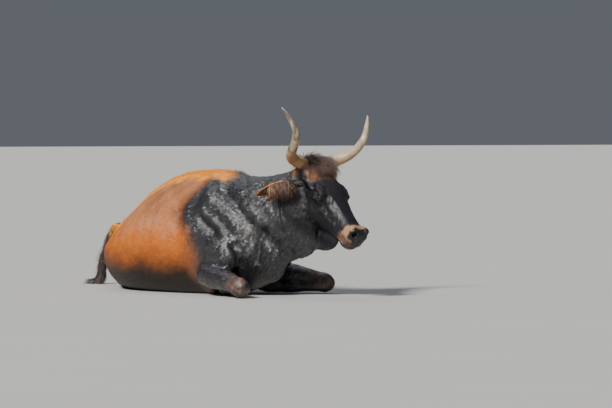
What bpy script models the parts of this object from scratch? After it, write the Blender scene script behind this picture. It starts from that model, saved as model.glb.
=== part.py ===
# Heck cattle lying at rest, as a life-size museum model.
# Metres, +Z up, +X towards the head, +Y towards the animal's left.
# The floor is z = 0 and the animal rests on flats cut at that level.

import math
import random

import bmesh
import bpy
import numpy as np
from mathutils import Matrix, Vector
from mathutils.bvhtree import BVHTree

# The gap between nodes that touch, and the level of the floor
GAP = 0.0004
FLOOR = 0.0

# Where the head joins the neck, and how it is held
POLL = Vector((1.047, 0.189, 0.748))
HEAD_YAW = math.radians(6)
HEAD_PITCH = math.radians(45)
HEAD_ROLL = math.radians(-4)
EYE = Vector((0.212, 0.106, -0.062))
EYE_RADIUS = 0.021
HORN_SEAT = Vector((0.000, 0.105, -0.020))

# Resolution of the flesh
BODY_VOXEL = 0.011
LIMB_VOXEL = 0.008
HEAD_VOXEL = 0.0065

COATS = {
    "coat_black": ((0.022, 0.022, 0.026, 1.0), 0.45),
    "coat_brown": ((0.30, 0.13, 0.045, 1.0), 0.6),
    "coat_dark_brown": ((0.06, 0.035, 0.025, 1.0), 0.6),
    "horn": ((0.66, 0.56, 0.40, 1.0), 0.35),
    "hoof": ((0.05, 0.045, 0.04, 1.0), 0.4),
    "eye": ((0.02, 0.012, 0.008, 1.0), 0.08),
}


def clear_scene():
    for obj in list(bpy.data.objects):
        bpy.data.objects.remove(obj)


def material(name):
    """The finish called name, made once."""
    found = bpy.data.materials.get(name)
    if found:
        return found
    colour, roughness = COATS[name]
    made = bpy.data.materials.new(name)
    made.use_nodes = True
    shader = made.node_tree.nodes["Principled BSDF"]
    shader.inputs["Base Color"].default_value = colour
    shader.inputs["Roughness"].default_value = roughness
    shader.inputs["Metallic"].default_value = 0.0
    return made


def flow(knots, values, at):
    """Smooth curve without overshoot through values at knots, read at the places in at."""
    x = np.asarray(knots, float)
    y = np.asarray(values, float).reshape(len(x), -1)
    step = np.diff(x)
    slope = np.diff(y, axis=0) / step[:, None]
    tangent = np.zeros_like(y)
    tangent[0] = slope[0]
    tangent[-1] = slope[-1]
    before = slope[:-1]
    after = slope[1:]
    total = np.abs(before) + np.abs(after) + 1e-12
    mean = 2 * np.abs(before) * np.abs(after) / total * np.sign(before)
    tangent[1:-1] = np.where(before * after > 0, mean, 0)
    at = np.asarray(at, float)
    i = np.clip(np.searchsorted(x, at) - 1, 0, len(x) - 2)
    h = step[i][:, None]
    u = ((at - x[i])[:, None]) / h
    a = 2 * u**3 - 3 * u**2 + 1
    b = u**3 - 2 * u**2 + u
    c = -2 * u**3 + 3 * u**2
    d = u**3 - u**2
    return a * y[i] + b * h * tangent[i] + c * y[i + 1] + d * h * tangent[i + 1]


def smooth_path(points, count):
    """count points on a smooth curve through the given ones, evenly spaced along it."""
    pts = np.asarray(points, float)
    ends = np.vstack([2 * pts[0] - pts[1], pts, 2 * pts[-1] - pts[-2]])
    fine = []
    for i in range(1, len(ends) - 2):
        p0, p1, p2, p3 = ends[i - 1 : i + 3]
        for u in np.linspace(0, 1, 24, endpoint=False):
            fine.append(
                0.5
                * (
                    2 * p1
                    + (p2 - p0) * u
                    + (2 * p0 - 5 * p1 + 4 * p2 - p3) * u**2
                    + (3 * p1 - p0 - 3 * p2 + p3) * u**3
                )
            )
    fine.append(ends[-2])
    fine = np.array(fine)
    run = np.concatenate([[0], np.cumsum(np.linalg.norm(np.diff(fine, axis=0), axis=1))])
    at = np.linspace(0, run[-1], count)
    return np.column_stack([np.interp(at, run, fine[:, k]) for k in range(3)])


def mesh_object(name, points, faces):
    mesh = bpy.data.meshes.new(name)
    mesh.from_pydata([tuple(map(float, p)) for p in points], [], faces)
    mesh.update()
    obj = bpy.data.objects.new(name, mesh)
    bpy.context.scene.collection.objects.link(obj)
    return obj


def skin_rings(name, rings):
    """A closed body over rings of points, each with the same count, its ends closed by one face."""
    count = len(rings[0])
    points = [p for ring in rings for p in ring]
    faces = [list(range(count))[::-1]]
    for k in range(len(rings) - 1):
        low, high = k * count, (k + 1) * count
        for j in range(count):
            n = (j + 1) % count
            faces.append([low + j, low + n, high + n, high + j])
    last = (len(rings) - 1) * count
    faces.append([last + j for j in range(count)])
    obj = mesh_object(name, points, faces)
    face_out(obj)
    return obj


def face_out(obj):
    shape = bmesh.new()
    shape.from_mesh(obj.data)
    bmesh.ops.recalc_face_normals(shape, faces=shape.faces)
    shape.to_mesh(obj.data)
    shape.free()


def oval(left, right, top, bottom, middle, crests, keel, count=40):
    """A cross-section as (sideways, up) pairs.

    crests, left and right, and keel are 2 for round, nearer 1 for a ridge, more for a box.
    """
    turn = np.linspace(0, 2 * math.pi, count, endpoint=False)
    c, s = np.cos(turn), np.sin(turn)
    crest = np.where(c >= 0, crests[0], crests[1])
    power = np.where(s >= 0, crest, keel)
    side = np.where(c >= 0, left, right) * np.sign(c) * np.abs(c) ** (2 / power)
    reach = np.where(s >= 0, top - middle, middle - bottom)
    up = middle + reach * np.sign(s) * np.abs(s) ** (2 / power)
    return side, up


def torso_loft(name, plan, sections, count):
    """Rings square to the plan line. Sections are as in TORSO."""
    table = np.array(sections, float)
    xs = np.linspace(table[0, 0], table[-1, 0], count)
    rows = flow(table[:, 0], table[:, 1:], xs)
    line = np.array(plan, float)
    ys = flow(line[:, 0], line[:, 1], xs)[:, 0]
    slope = np.gradient(ys, xs)
    rings = []
    for x, y, m, row in zip(xs, ys, slope, rows):
        top, bottom, middle, left, right, lean, crest_left, crest_right, keel = row
        side, up = oval(left, right, top, bottom, middle, (crest_left, crest_right), keel)
        side = side - lean * (up - bottom) / (top - bottom)
        across = np.array((-m, 1.0)) / math.hypot(m, 1.0)
        rings.append(
            np.column_stack([x + across[0] * side, y + across[1] * side, up])
        )
    return skin_rings(name, rings)


def tube(name, points, radii, count=16, sides=16, up=(0, 0, 1), dome=True):
    """A round-ended limb through points. radii are (sideways, up) at each point."""
    line = smooth_path(points, count)
    pts = np.asarray(points, float)
    run = np.concatenate([[0], np.cumsum(np.linalg.norm(np.diff(pts, axis=0), axis=1))])
    size = flow(run / run[-1], radii, np.linspace(0, 1, count))
    along = np.gradient(line, axis=0)
    along /= np.linalg.norm(along, axis=1)[:, None]
    rings = []
    spread = np.linspace(0, 2 * math.pi, sides, endpoint=False)
    across = None
    frames = []
    for tangent in along:
        hint = np.array(up, float) if across is None else np.cross(across, tangent) * -1
        across = np.cross(hint, tangent)
        across /= np.linalg.norm(across)
        frames.append((across, np.cross(tangent, across)))
    ends = [math.radians(a) for a in (80, 60, 35)]
    if dome:
        for a in ends:
            reach = size[0].min() * math.sin(a)
            rings.append((line[0] - along[0] * reach, frames[0], size[0] * math.cos(a)))
    rings += [(p, f, s) for p, f, s in zip(line, frames, size)]
    if dome:
        for a in ends[::-1]:
            reach = size[-1].min() * math.sin(a)
            rings.append((line[-1] + along[-1] * reach, frames[-1], size[-1] * math.cos(a)))
    made = []
    for centre, (side, rise), (wide, high) in rings:
        made.append(
            centre
            + np.outer(np.cos(spread) * wide, side)
            + np.outer(np.sin(spread) * high, rise)
        )
    return skin_rings(name, made)


def lump(name, centre, radii, turn=(0, 0, 0), segments=20):
    """An egg-shaped swelling with turn in degrees about X, Y and Z."""
    shape = bmesh.new()
    bmesh.ops.create_uvsphere(shape, u_segments=segments, v_segments=segments * 3 // 5, radius=1.0)
    x, y, z = (math.radians(a) for a in turn)
    place = Matrix.Translation(Vector(centre))
    place = place @ Matrix.Rotation(z, 4, "Z") @ Matrix.Rotation(y, 4, "Y") @ Matrix.Rotation(x, 4, "X")
    place = place @ Matrix.Diagonal((*radii, 1.0))
    bmesh.ops.transform(shape, matrix=place, verts=shape.verts)
    mesh = bpy.data.meshes.new(name)
    shape.to_mesh(mesh)
    shape.free()
    obj = bpy.data.objects.new(name, mesh)
    bpy.context.scene.collection.objects.link(obj)
    return obj


def drop(*objects):
    for obj in objects:
        bpy.data.objects.remove(obj)


def bake(obj):
    """Applies the object's modifiers to its mesh."""
    graph = bpy.context.evaluated_depsgraph_get()
    mesh = bpy.data.meshes.new_from_object(obj.evaluated_get(graph))
    obj.modifiers.clear()
    obj.data = mesh
    return obj


def joined(name, objects):
    """One object that holds all these meshes, which are then removed."""
    shape = bmesh.new()
    for obj in objects:
        piece = obj.data.copy()
        piece.transform(obj.matrix_world)
        shape.from_mesh(piece)
        bpy.data.meshes.remove(piece)
    mesh = bpy.data.meshes.new(name)
    shape.to_mesh(mesh)
    shape.free()
    drop(*objects)
    obj = bpy.data.objects.new(name, mesh)
    bpy.context.scene.collection.objects.link(obj)
    return obj


def fused(name, objects, voxel, rounds):
    """The objects grown into one smooth body."""
    obj = joined(name, objects)
    remesh = obj.modifiers.new("grow_together", "REMESH")
    remesh.mode = "VOXEL"
    remesh.voxel_size = voxel
    soften = obj.modifiers.new("soften", "SMOOTH")
    soften.factor = 0.5
    soften.iterations = rounds
    return bake(obj)


def thinned(obj, triangles):
    """Fewer faces, about that many triangles."""
    faces = sum(len(f.vertices) - 2 for f in obj.data.polygons)
    modifier = obj.modifiers.new("thin", "DECIMATE")
    modifier.ratio = min(1.0, triangles / faces)
    modifier.use_collapse_triangulate = True
    return bake(obj)


def half(obj, point, normal, name):
    """A copy of obj with what lies ahead of the plane cut away and the cut closed."""
    shape = bmesh.new()
    shape.from_mesh(obj.data)
    cut = bmesh.ops.bisect_plane(
        shape,
        geom=shape.verts[:] + shape.edges[:] + shape.faces[:],
        dist=1e-6,
        plane_co=point,
        plane_no=normal,
        clear_outer=True,
    )
    edges = [g for g in cut["geom_cut"] if isinstance(g, bmesh.types.BMEdge)]
    bmesh.ops.holes_fill(shape, edges=[e for e in edges if e.is_valid], sides=0)
    bmesh.ops.triangulate(shape, faces=shape.faces)
    mesh = bpy.data.meshes.new(name)
    shape.to_mesh(mesh)
    shape.free()
    made = bpy.data.objects.new(name, mesh)
    bpy.context.scene.collection.objects.link(made)
    return made


def floor_cut(obj):
    """Flattens the object where it reaches the floor."""
    name = obj.name
    obj.name = name + "_raw"
    made = half(obj, (0, 0, FLOOR), (0, 0, -1), name)
    drop(obj)
    return made


def parted(obj, point, normal, behind, ahead):
    """Cuts obj in two at a plane, with the gap between."""
    normal = Vector(normal).normalized()
    point = Vector(point)
    back = half(obj, point - normal * GAP / 2, normal, behind)
    front = half(obj, point + normal * GAP / 2, -normal, ahead)
    drop(obj)
    return back, front


def grown(obj, by):
    """A copy of obj whose surface stands out by that much."""
    mesh = obj.data.copy()
    mesh.transform(obj.matrix_world)
    copy = bpy.data.objects.new(obj.name + "_grown", mesh)
    normals = [v.normal.copy() for v in mesh.vertices]
    for v, n in zip(mesh.vertices, normals):
        v.co = v.co + n * by
    bpy.context.scene.collection.objects.link(copy)
    return copy


def boolean(obj, others, operation, solver="MANIFOLD"):
    """Joins others to obj or cuts them from it. The others are then removed."""
    group = bpy.data.collections.new("operands")
    bpy.context.scene.collection.children.link(group)
    for other in others:
        for old in list(other.users_collection):
            old.objects.unlink(other)
        group.objects.link(other)
    modifier = obj.modifiers.new("boolean", "BOOLEAN")
    modifier.operation = operation
    modifier.operand_type = "COLLECTION"
    modifier.collection = group
    modifier.solver = solver
    bake(obj)
    drop(*others)
    bpy.data.collections.remove(group)
    return obj


def keep_largest(obj):
    """Keeps the largest closed surface of the object."""
    shape = bmesh.new()
    shape.from_mesh(obj.data)
    bmesh.ops.remove_doubles(shape, verts=shape.verts, dist=1e-6)
    left = set(shape.verts)
    groups = []
    while left:
        start = left.pop()
        found = {start}
        edge_of = [start]
        while edge_of:
            v = edge_of.pop()
            for e in v.link_edges:
                w = e.other_vert(v)
                if w in left:
                    left.discard(w)
                    found.add(w)
                    edge_of.append(w)
        groups.append(found)
    groups.sort(key=len, reverse=True)
    spare = [v for g in groups[1:] for v in g]
    bmesh.ops.delete(shape, geom=spare, context="VERTS")
    bmesh.ops.triangulate(shape, faces=shape.faces)
    shape.to_mesh(obj.data)
    shape.free()
    return obj


def cut_by(obj, *neighbours):
    """Trims obj clear of the nodes that it touches."""
    for neighbour in neighbours:
        boolean(obj, [grown(neighbour, GAP)], "DIFFERENCE")
    return keep_largest(obj)


# The plan line of the back, seen from above, from rump to chest
BACK_LINE = (
    (-0.93, 0.190),
    (-0.72, 0.142),
    (-0.50, 0.085),
    (-0.25, 0.034),
    (0.00, 0.004),
    (0.40, 0.000),
    (0.62, 0.020),
    (0.80, 0.052),
    (0.95, 0.100),
    (1.10, 0.170),
)

# x, top, bottom, middle, left, right, lean, left crest, right crest, keel
TORSO = (
    (-0.905, 0.160, 0.080, 0.13, 0.040, 0.020, 0.030, 2.0, 1.6, 2.0),
    (-0.870, 0.235, 0.000, 0.14, 0.120, 0.035, 0.070, 2.0, 1.4, 2.2),
    (-0.800, 0.300, -0.030, 0.15, 0.190, 0.062, 0.093, 1.9, 1.3, 2.3),
    (-0.700, 0.352, -0.030, 0.16, 0.250, 0.105, 0.087, 1.8, 1.2, 2.3),
    (-0.600, 0.396, -0.030, 0.17, 0.290, 0.157, 0.075, 1.7, 1.2, 2.3),
    (-0.500, 0.445, -0.030, 0.18, 0.315, 0.210, 0.065, 1.6, 1.1, 2.3),
    (-0.400, 0.494, -0.030, 0.19, 0.330, 0.262, 0.050, 1.5, 1.1, 2.3),
    (-0.300, 0.546, -0.030, 0.22, 0.340, 0.322, 0.040, 1.5, 1.12, 2.3),
    (-0.200, 0.591, -0.030, 0.25, 0.350, 0.370, 0.025, 1.5, 1.15, 2.3),
    (-0.100, 0.630, -0.030, 0.26, 0.355, 0.383, 0.015, 1.6, 1.25, 2.3),
    (0.000, 0.658, -0.030, 0.27, 0.355, 0.373, 0.005, 1.7, 1.4, 2.3),
    (0.200, 0.688, -0.030, 0.28, 0.325, 0.335, 0.000, 1.6, 1.6, 2.2),
    (0.400, 0.700, -0.020, 0.30, 0.275, 0.275, 0.000, 1.6, 1.6, 2.1),
    (0.560, 0.690, 0.000, 0.31, 0.240, 0.240, 0.000, 1.7, 1.7, 2.0),
    (0.700, 0.640, 0.030, 0.31, 0.200, 0.200, 0.000, 1.8, 1.8, 1.9),
    (0.800, 0.540, 0.070, 0.29, 0.150, 0.150, 0.000, 2.0, 2.0, 1.8),
    (0.870, 0.420, 0.120, 0.27, 0.100, 0.100, 0.000, 2.0, 2.0, 1.8),
    (0.910, 0.330, 0.180, 0.25, 0.040, 0.040, 0.000, 2.0, 2.0, 2.0),
)

NECK = (
    (0.420, 0.640, 0.150, 0.40, 0.180, 0.180, 0.000, 2.0, 2.0, 2.0),
    (0.560, 0.672, 0.120, 0.40, 0.190, 0.190, 0.000, 1.9, 1.9, 1.7),
    (0.700, 0.668, 0.120, 0.40, 0.175, 0.175, 0.000, 1.8, 1.8, 1.5),
    (0.820, 0.676, 0.150, 0.41, 0.148, 0.148, 0.000, 1.75, 1.75, 1.35),
    (0.920, 0.698, 0.180, 0.42, 0.122, 0.120, 0.000, 1.75, 1.7, 1.25),
    (1.000, 0.715, 0.205, 0.43, 0.106, 0.102, 0.000, 1.8, 1.7, 1.2),
    (1.060, 0.690, 0.230, 0.44, 0.090, 0.086, 0.000, 1.8, 1.7, 1.2),
    (1.090, 0.640, 0.300, 0.44, 0.050, 0.050, 0.000, 2.0, 2.0, 1.4),
)

# Along the face from poll to muzzle: t, top, bottom, middle, half width, crest, keel
HEAD = (
    (-0.055, -0.070, -0.150, -0.11, 0.045, 2.0, 2.0),
    (-0.035, -0.035, -0.190, -0.10, 0.090, 2.2, 2.0),
    (0.000, -0.008, -0.225, -0.08, 0.107, 2.4, 2.0),
    (0.050, 0.000, -0.245, -0.07, 0.108, 2.7, 1.9),
    (0.110, 0.002, -0.255, -0.08, 0.104, 2.7, 1.9),
    (0.170, 0.004, -0.255, -0.07, 0.106, 2.8, 1.8),
    (0.220, 0.002, -0.248, -0.08, 0.102, 2.7, 1.8),
    (0.280, -0.004, -0.228, -0.09, 0.086, 2.5, 1.9),
    (0.340, -0.008, -0.200, -0.09, 0.074, 2.5, 2.0),
    (0.400, -0.007, -0.178, -0.085, 0.066, 2.5, 2.1),
    (0.450, -0.003, -0.166, -0.080, 0.066, 2.6, 2.2),
    (0.490, 0.000, -0.160, -0.076, 0.071, 2.7, 2.3),
    (0.520, -0.016, -0.150, -0.076, 0.068, 2.6, 2.3),
    (0.538, -0.036, -0.130, -0.078, 0.052, 2.4, 2.2),
    (0.546, -0.055, -0.105, -0.080, 0.028, 2.2, 2.2),
)


def head_place():
    """The matrix that carries the head's own frame, poll at the origin and face along X, to its place."""
    place = Matrix.Translation(POLL) @ Matrix.Rotation(HEAD_YAW, 4, "Z")
    return place @ Matrix.Rotation(HEAD_PITCH, 4, "Y") @ Matrix.Rotation(HEAD_ROLL, 4, "X")


def head_loft():
    table = np.array(HEAD)
    ts = np.linspace(table[0, 0], table[-1, 0], 60)
    rows = flow(table[:, 0], table[:, 1:], ts)
    rings = []
    for t, (top, bottom, middle, wide, crest, keel) in zip(ts, rows):
        side, up = oval(wide, wide, top, bottom, middle, (crest, crest), keel)
        rings.append(np.column_stack([np.full(len(side), t), side, up]))
    return skin_rings("face", rings)


def head_masses():
    """The solid forms of the head, in place."""
    pieces = [head_loft(), lump("poll_boss", (0.0, 0, -0.03), (0.05, 0.085, 0.042))]
    pieces.append(lump("poll_hair", (0.040, 0, -0.004), (0.085, 0.092, 0.026), (0, 4, 0)))
    pieces.append(lump("chin", (0.490, 0, -0.138), (0.050, 0.048, 0.030), (0, -6, 0)))
    for side in (-1, 1):
        x, y, z = EYE
        pieces.append(lump("orbit", (x, side * (y - 0.010), z + 0.006), (0.050, 0.028, 0.038)))
        pieces.append(lump("brow", (x - 0.020, side * (y - 0.016), z + 0.036), (0.052, 0.026, 0.022)))
        pieces.append(lump("cheek", (0.185, side * 0.066, -0.150), (0.110, 0.038, 0.085), (0, 18, 0)))
        pieces.append(lump("lip", (0.485, side * 0.038, -0.095), (0.055, 0.034, 0.036), (0, 8, 0)))
        pieces.append(lump("nostril_wing", (0.500, side * 0.042, -0.038), (0.036, 0.028, 0.034)))
        seat = HORN_SEAT
        stub = [(seat.x + 0.01, side * 0.04, seat.z - 0.01), (seat.x, side * (seat.y + 0.012), seat.z)]
        pieces.append(tube("horn_stub", stub, [(0.046, 0.046), (0.037, 0.037)], 6))
    place = head_place()
    for piece in pieces:
        piece.data.transform(place)
    return pieces


def body_masses():
    """The torso and neck with the muscles that show."""
    pieces = [torso_loft("barrel", BACK_LINE, TORSO, 90), torso_loft("nape", BACK_LINE, NECK, 50)]
    for side in (-1, 1):
        blade = (0.47, side * 0.170 + 0.01, 0.42)
        pieces.append(lump("shoulder_blade", blade, (0.120, 0.075, 0.21), (side * 14, 26, side * 4)))
        arm = (0.62, side * 0.190 + 0.02, 0.25)
        pieces.append(lump("upper_arm", arm, (0.160, 0.075, 0.120), (0, 22, side * 4)))
    pieces += [
        lump("throat", (1.085, 0.205, 0.350), (0.125, 0.036, 0.100), (0, 8, 8)),
        lump("throat_back", (0.980, 0.172, 0.360), (0.120, 0.060, 0.125), (0, 4, 14)),
    ]
    pieces.append(lump("brisket", (0.790, 0.050, 0.170), (0.110, 0.070, 0.105), (0, 0, 14)))
    # the rolled pelvis: left hip high, right hip low
    pieces += [
        lump("hook_left", (-0.46, 0.200, 0.385), (0.110, 0.070, 0.055), (20, 10, -16)),
        lump("haunch_left", (-0.585, 0.215, 0.245), (0.290, 0.150, 0.190), (10, 8, -20)),
        lump("buttock_left", (-0.780, 0.235, 0.190), (0.125, 0.105, 0.150), (0, 0, -20)),
        lump("hip_right", (-0.50, -0.030, 0.290), (0.11, 0.075, 0.10), (0, 14, -16)),
        lump("thigh_right", (-0.47, 0.015, 0.125), (0.26, 0.140, 0.150), (0, 0, -22)),
    ]
    return pieces


def foreleg_masses():
    """The forearm and knee, and the cannon folded under it, of each foreleg."""
    right = [(0.50, -0.150, 0.17), (0.60, -0.205, 0.116), (0.75, -0.222, 0.096), (0.87, -0.238, 0.074)]
    right.append((0.930, -0.245, 0.058))
    left = [(0.44, 0.160, 0.18), (0.49, 0.262, 0.128), (0.63, 0.358, 0.104), (0.735, 0.428, 0.078)]
    left.append((0.785, 0.462, 0.060))
    arm = [(0.070, 0.070), (0.077, 0.073), (0.062, 0.063), (0.050, 0.052), (0.050, 0.048)]
    cannon = [(0.036, 0.036), (0.030, 0.034), (0.036, 0.040), (0.034, 0.036)]
    right_low = [(0.935, -0.225, 0.048), (0.83, -0.185, 0.042), (0.745, -0.155, 0.040), (0.675, -0.130, 0.040)]
    left_low = [(0.800, 0.450, 0.048), (0.710, 0.366, 0.042), (0.640, 0.306, 0.040), (0.580, 0.262, 0.040)]
    return {
        "forearm_right": [
            tube("arm", right, arm, 18),
            lump("knee", (0.915, -0.244, 0.062), (0.068, 0.056, 0.060), (0, 14, -8)),
            lump("point_of_elbow", (0.555, -0.215, 0.115), (0.070, 0.055, 0.062), (0, 0, -8)),
        ],
        "forearm_left": [
            tube("arm", left, arm, 18),
            lump("knee", (0.765, 0.450, 0.064), (0.068, 0.056, 0.060), (0, 14, 34)),
            lump("point_of_elbow", (0.445, 0.255, 0.120), (0.070, 0.055, 0.062), (0, 0, 34)),
        ],
        "fore_cannon_right": [tube("cannon", right_low, cannon, 14)],
        "fore_cannon_left": [tube("cannon", left_low, cannon, 14)],
    }


def hindleg_masses():
    """The left hind leg folded out to the left, and the end of the right one under the belly."""
    thigh = [(-0.60, 0.220, 0.250), (-0.42, 0.300, 0.265), (-0.24, 0.385, 0.235), (-0.125, 0.428, 0.195)]
    shank = [(-0.13, 0.440, 0.175), (-0.28, 0.465, 0.150), (-0.42, 0.490, 0.110), (-0.52, 0.505, 0.085)]
    left = [(-0.50, 0.515, 0.060), (-0.34, 0.540, 0.045), (-0.19, 0.565, 0.042), (-0.10, 0.582, 0.042)]
    right = [(-0.20, 0.240, 0.050), (-0.08, 0.315, 0.045), (0.00, 0.365, 0.042)]
    cannon = [(0.036, 0.042), (0.030, 0.036), (0.036, 0.040), (0.034, 0.036)]
    ham = [(0.12, 0.170), (0.110, 0.160), (0.085, 0.125), (0.062, 0.082)]
    return {
        "thigh_left": [tube("thigh", thigh, ham, 18)],
        "shank_left": [
            tube("shank", shank, [(0.060, 0.085), (0.055, 0.075), (0.036, 0.048), (0.034, 0.044)], 16),
            lump("point_of_hock", (-0.545, 0.505, 0.095), (0.040, 0.030, 0.042), (0, 20, 0)),
        ],
        "hind_cannon_left": [tube("cannon", left, cannon, 16)],
        "hind_cannon_right": [tube("cannon", right, cannon[1:], 12)],
    }


HOOVES = {
    "fore_hoof_right": ((0.672, -0.129, 0.040), (0.575, -0.105, 0.030)),
    "fore_hoof_left": ((0.579, 0.261, 0.040), (0.495, 0.215, 0.030)),
    "hind_hoof_left": ((-0.098, 0.582, 0.042), (0.000, 0.600, 0.028)),
    "hind_hoof_right": ((0.002, 0.366, 0.042), (0.085, 0.415, 0.028)),
}


def hoof(name, coronet, toe):
    """Two claws side by side under one coronet."""
    start, end = Vector(coronet), Vector(toe)
    along = (end - start).normalized()
    across = along.cross(Vector((0, 0, 1))).normalized()
    band = [start - along * 0.012, start + along * 0.020]
    pieces = [tube("coronet", band, [(0.036, 0.036), (0.040, 0.034)], 5)]
    for side in (-1, 1):
        shift = across * side * 0.022
        points = [start + shift * 0.8 + along * 0.004, start + shift + along * 0.045, end + shift * 0.9]
        pieces.append(tube("claw", points, [(0.021, 0.033), (0.021, 0.030), (0.012, 0.015)], 10))
    return fused(name, pieces, 0.005, 2)


HORN_PATH = (
    (-0.030, 0.004, -0.004),
    (0.010, 0.000, 0.000),
    (0.055, -0.014, 0.020),
    (0.107, 0.030, 0.050),
    (0.134, 0.080, 0.090),
    (0.151, 0.113, 0.135),
    (0.167, 0.122, 0.175),
    (0.190, 0.110, 0.225),
    (0.215, 0.092, 0.270),
    (0.225, 0.080, 0.287),
)
HORN_RADII = (0.030, 0.032, 0.032, 0.028, 0.0245, 0.022, 0.0185, 0.013, 0.0075, 0.003)


def head_axes(side):
    """Outward, forward and up at the poll, level with the floor but for the head's roll."""
    forward = Vector((math.cos(HEAD_YAW), math.sin(HEAD_YAW), 0))
    outward = Vector((-math.sin(HEAD_YAW), math.cos(HEAD_YAW), math.sin(HEAD_ROLL))) * side
    return outward.normalized(), forward, Vector((0, 0, 1))


def horn(name, side):
    return tube(name, horn_line(side), [(r, r) for r in HORN_RADII], 17, 10)


def eye(name, side):
    shape = bmesh.new()
    bmesh.ops.create_uvsphere(shape, u_segments=14, v_segments=8, radius=EYE_RADIUS)
    centre = head_place() @ Vector((EYE.x, side * EYE.y, EYE.z))
    bmesh.ops.translate(shape, vec=centre, verts=shape.verts)
    mesh = bpy.data.meshes.new(name)
    shape.to_mesh(mesh)
    shape.free()
    obj = bpy.data.objects.new(name, mesh)
    bpy.context.scene.collection.objects.link(obj)
    return obj


EAR_LENGTH = 0.266
EAR_OUTLINE = (
    (0, 0.026),
    (0.12, 0.030),
    (0.30, 0.046),
    (0.50, 0.054),
    (0.70, 0.047),
    (0.86, 0.030),
    (0.95, 0.016),
    (1.0, 0.004),
)
EAR_CURL = ((0, 150), (0.12, 130), (0.30, 88), (0.50, 66), (0.75, 56), (1.0, 40))


def ear_frame(side):
    """Root, outward line, mouth direction of the ear's cup and the third axis."""
    outward, forward, up = head_axes(side)
    root = head_place() @ Vector((0.062, side * 0.088, -0.112))
    line = (outward * 0.80 - forward * 0.54 - up * 0.20).normalized()
    mouth = forward * 0.50 - up * 0.66 + outward * 0.40
    mouth = (mouth - line * mouth.dot(line)).normalized()
    return root, line, mouth, line.cross(mouth)


def ear_shape(s):
    """Half width, curl and bending radius of the ear at the share s of its length."""
    wide = float(flow(*zip(*EAR_OUTLINE), [s])[0, 0])
    turn = math.radians(float(flow(*zip(*EAR_CURL), [s])[0, 0]))
    return wide, turn, wide / max(math.sin(min(turn, math.pi / 2)), 0.2)


def ear_point(side, s, v, inset):
    """A point of the ear: s along it, v across it from -1 to 1, inset from its back towards the cup."""
    root, line, mouth, rim = ear_frame(side)
    wide, turn, radius = ear_shape(s)
    centre = root + line * (EAR_LENGTH * s - 0.02) - Vector((0, 0, 0.028 * s * s))
    reach = radius - inset
    deep = radius - reach * math.cos(v * turn)
    return centre + rim * reach * math.sin(v * turn) + mouth * (deep - 0.5 * wide)


def ear(name, side):
    across = np.linspace(-1, 1, 8)
    rings = []
    for s in np.linspace(0, 1, 10):
        thick = 0.007 * (1 - 0.45 * s)
        outer = [tuple(ear_point(side, s, v, 0.0)) for v in across]
        inner = [tuple(ear_point(side, s, v, thick)) for v in across]
        rings.append(outer + inner[::-1])
    return skin_rings(name, rings)


TAIL = (
    (-0.560, 0.045, 0.330),
    (-0.660, 0.052, 0.350),
    (-0.740, 0.060, 0.343),
    (-0.810, 0.070, 0.292),
    (-0.870, 0.078, 0.215),
    (-0.902, 0.068, 0.130),
    (-0.908, 0.062, 0.070),
)
TAIL_RADII = (
    (0.012, 0.010),
    (0.023, 0.020),
    (0.031, 0.028),
    (0.031, 0.028),
    (0.026, 0.024),
    (0.021, 0.020),
    (0.018, 0.018),
)
SWITCH = (
    (-0.904, 0.064, 0.105),
    (-0.912, 0.060, 0.050),
    (-0.930, 0.050, 0.024),
    (-0.960, 0.030, 0.014),
    (-0.985, 0.005, 0.008),
)
SWITCH_RADII = ((0.026, 0.026), (0.034, 0.036), (0.038, 0.026), (0.028, 0.014), (0.008, 0.006))


# Where the trunk is parted: behind, ahead, a point of the cut and the way it faces
SEAMS = (
    ("rump", "barrel", (-0.300, 0.045, 0.3), (0.98, -0.18, 0.0)),
    ("barrel", "shoulders", (0.250, 0.000, 0.3), (1.0, 0.0, 0.0)),
    ("shoulders", "neck", (0.660, 0.030, 0.45), (0.85, 0.12, 0.50)),
)
HEAD_SEAM = Vector((-0.040, 0.0, -0.040))

HIND_LEFT = ("rump", "barrel", "thigh_left", "shank_left")

# Each limb node: triangles, finish and the nodes it is trimmed to, in the order of cutting
LIMBS = (
    ("forearm_right", 340, "coat_black", ("shoulders", "barrel")),
    ("forearm_left", 340, "coat_black", ("shoulders", "barrel")),
    ("fore_cannon_right", 200, "coat_black", ("shoulders", "barrel", "forearm_right")),
    ("fore_cannon_left", 200, "coat_black", ("shoulders", "barrel", "forearm_left")),
    ("thigh_left", 320, "coat_brown", ("rump", "barrel")),
    ("shank_left", 240, "coat_brown", ("rump", "barrel", "thigh_left")),
    ("hind_cannon_left", 240, "coat_dark_brown", HIND_LEFT),
    ("hind_cannon_right", 240, "coat_dark_brown", (*HIND_LEFT, "hind_cannon_left")),
)
HOOF_NEIGHBOURS = {
    "fore_hoof_right": ("fore_cannon_right", "shoulders", "forearm_right"),
    "fore_hoof_left": ("fore_cannon_left", "shoulders", "forearm_left", "barrel"),
    "hind_hoof_left": ("hind_cannon_left", "barrel"),
    "hind_hoof_right": ("hind_cannon_right", "barrel", "hind_cannon_left"),
}


def node(name):
    return bpy.data.objects[name]


def finish(obj, coat):
    obj.data.materials.clear()
    obj.data.materials.append(material(coat))
    obj.data.shade_smooth()
    return obj


def head_seam():
    """A point of the cut between neck and head, and the way it faces."""
    _, forward, _ = head_axes(1)
    lean = Vector((forward.x * 0.99 - forward.y * 0.14, forward.y * 0.99 + forward.x * 0.14, 0))
    return head_place() @ HEAD_SEAM, lean


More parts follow.
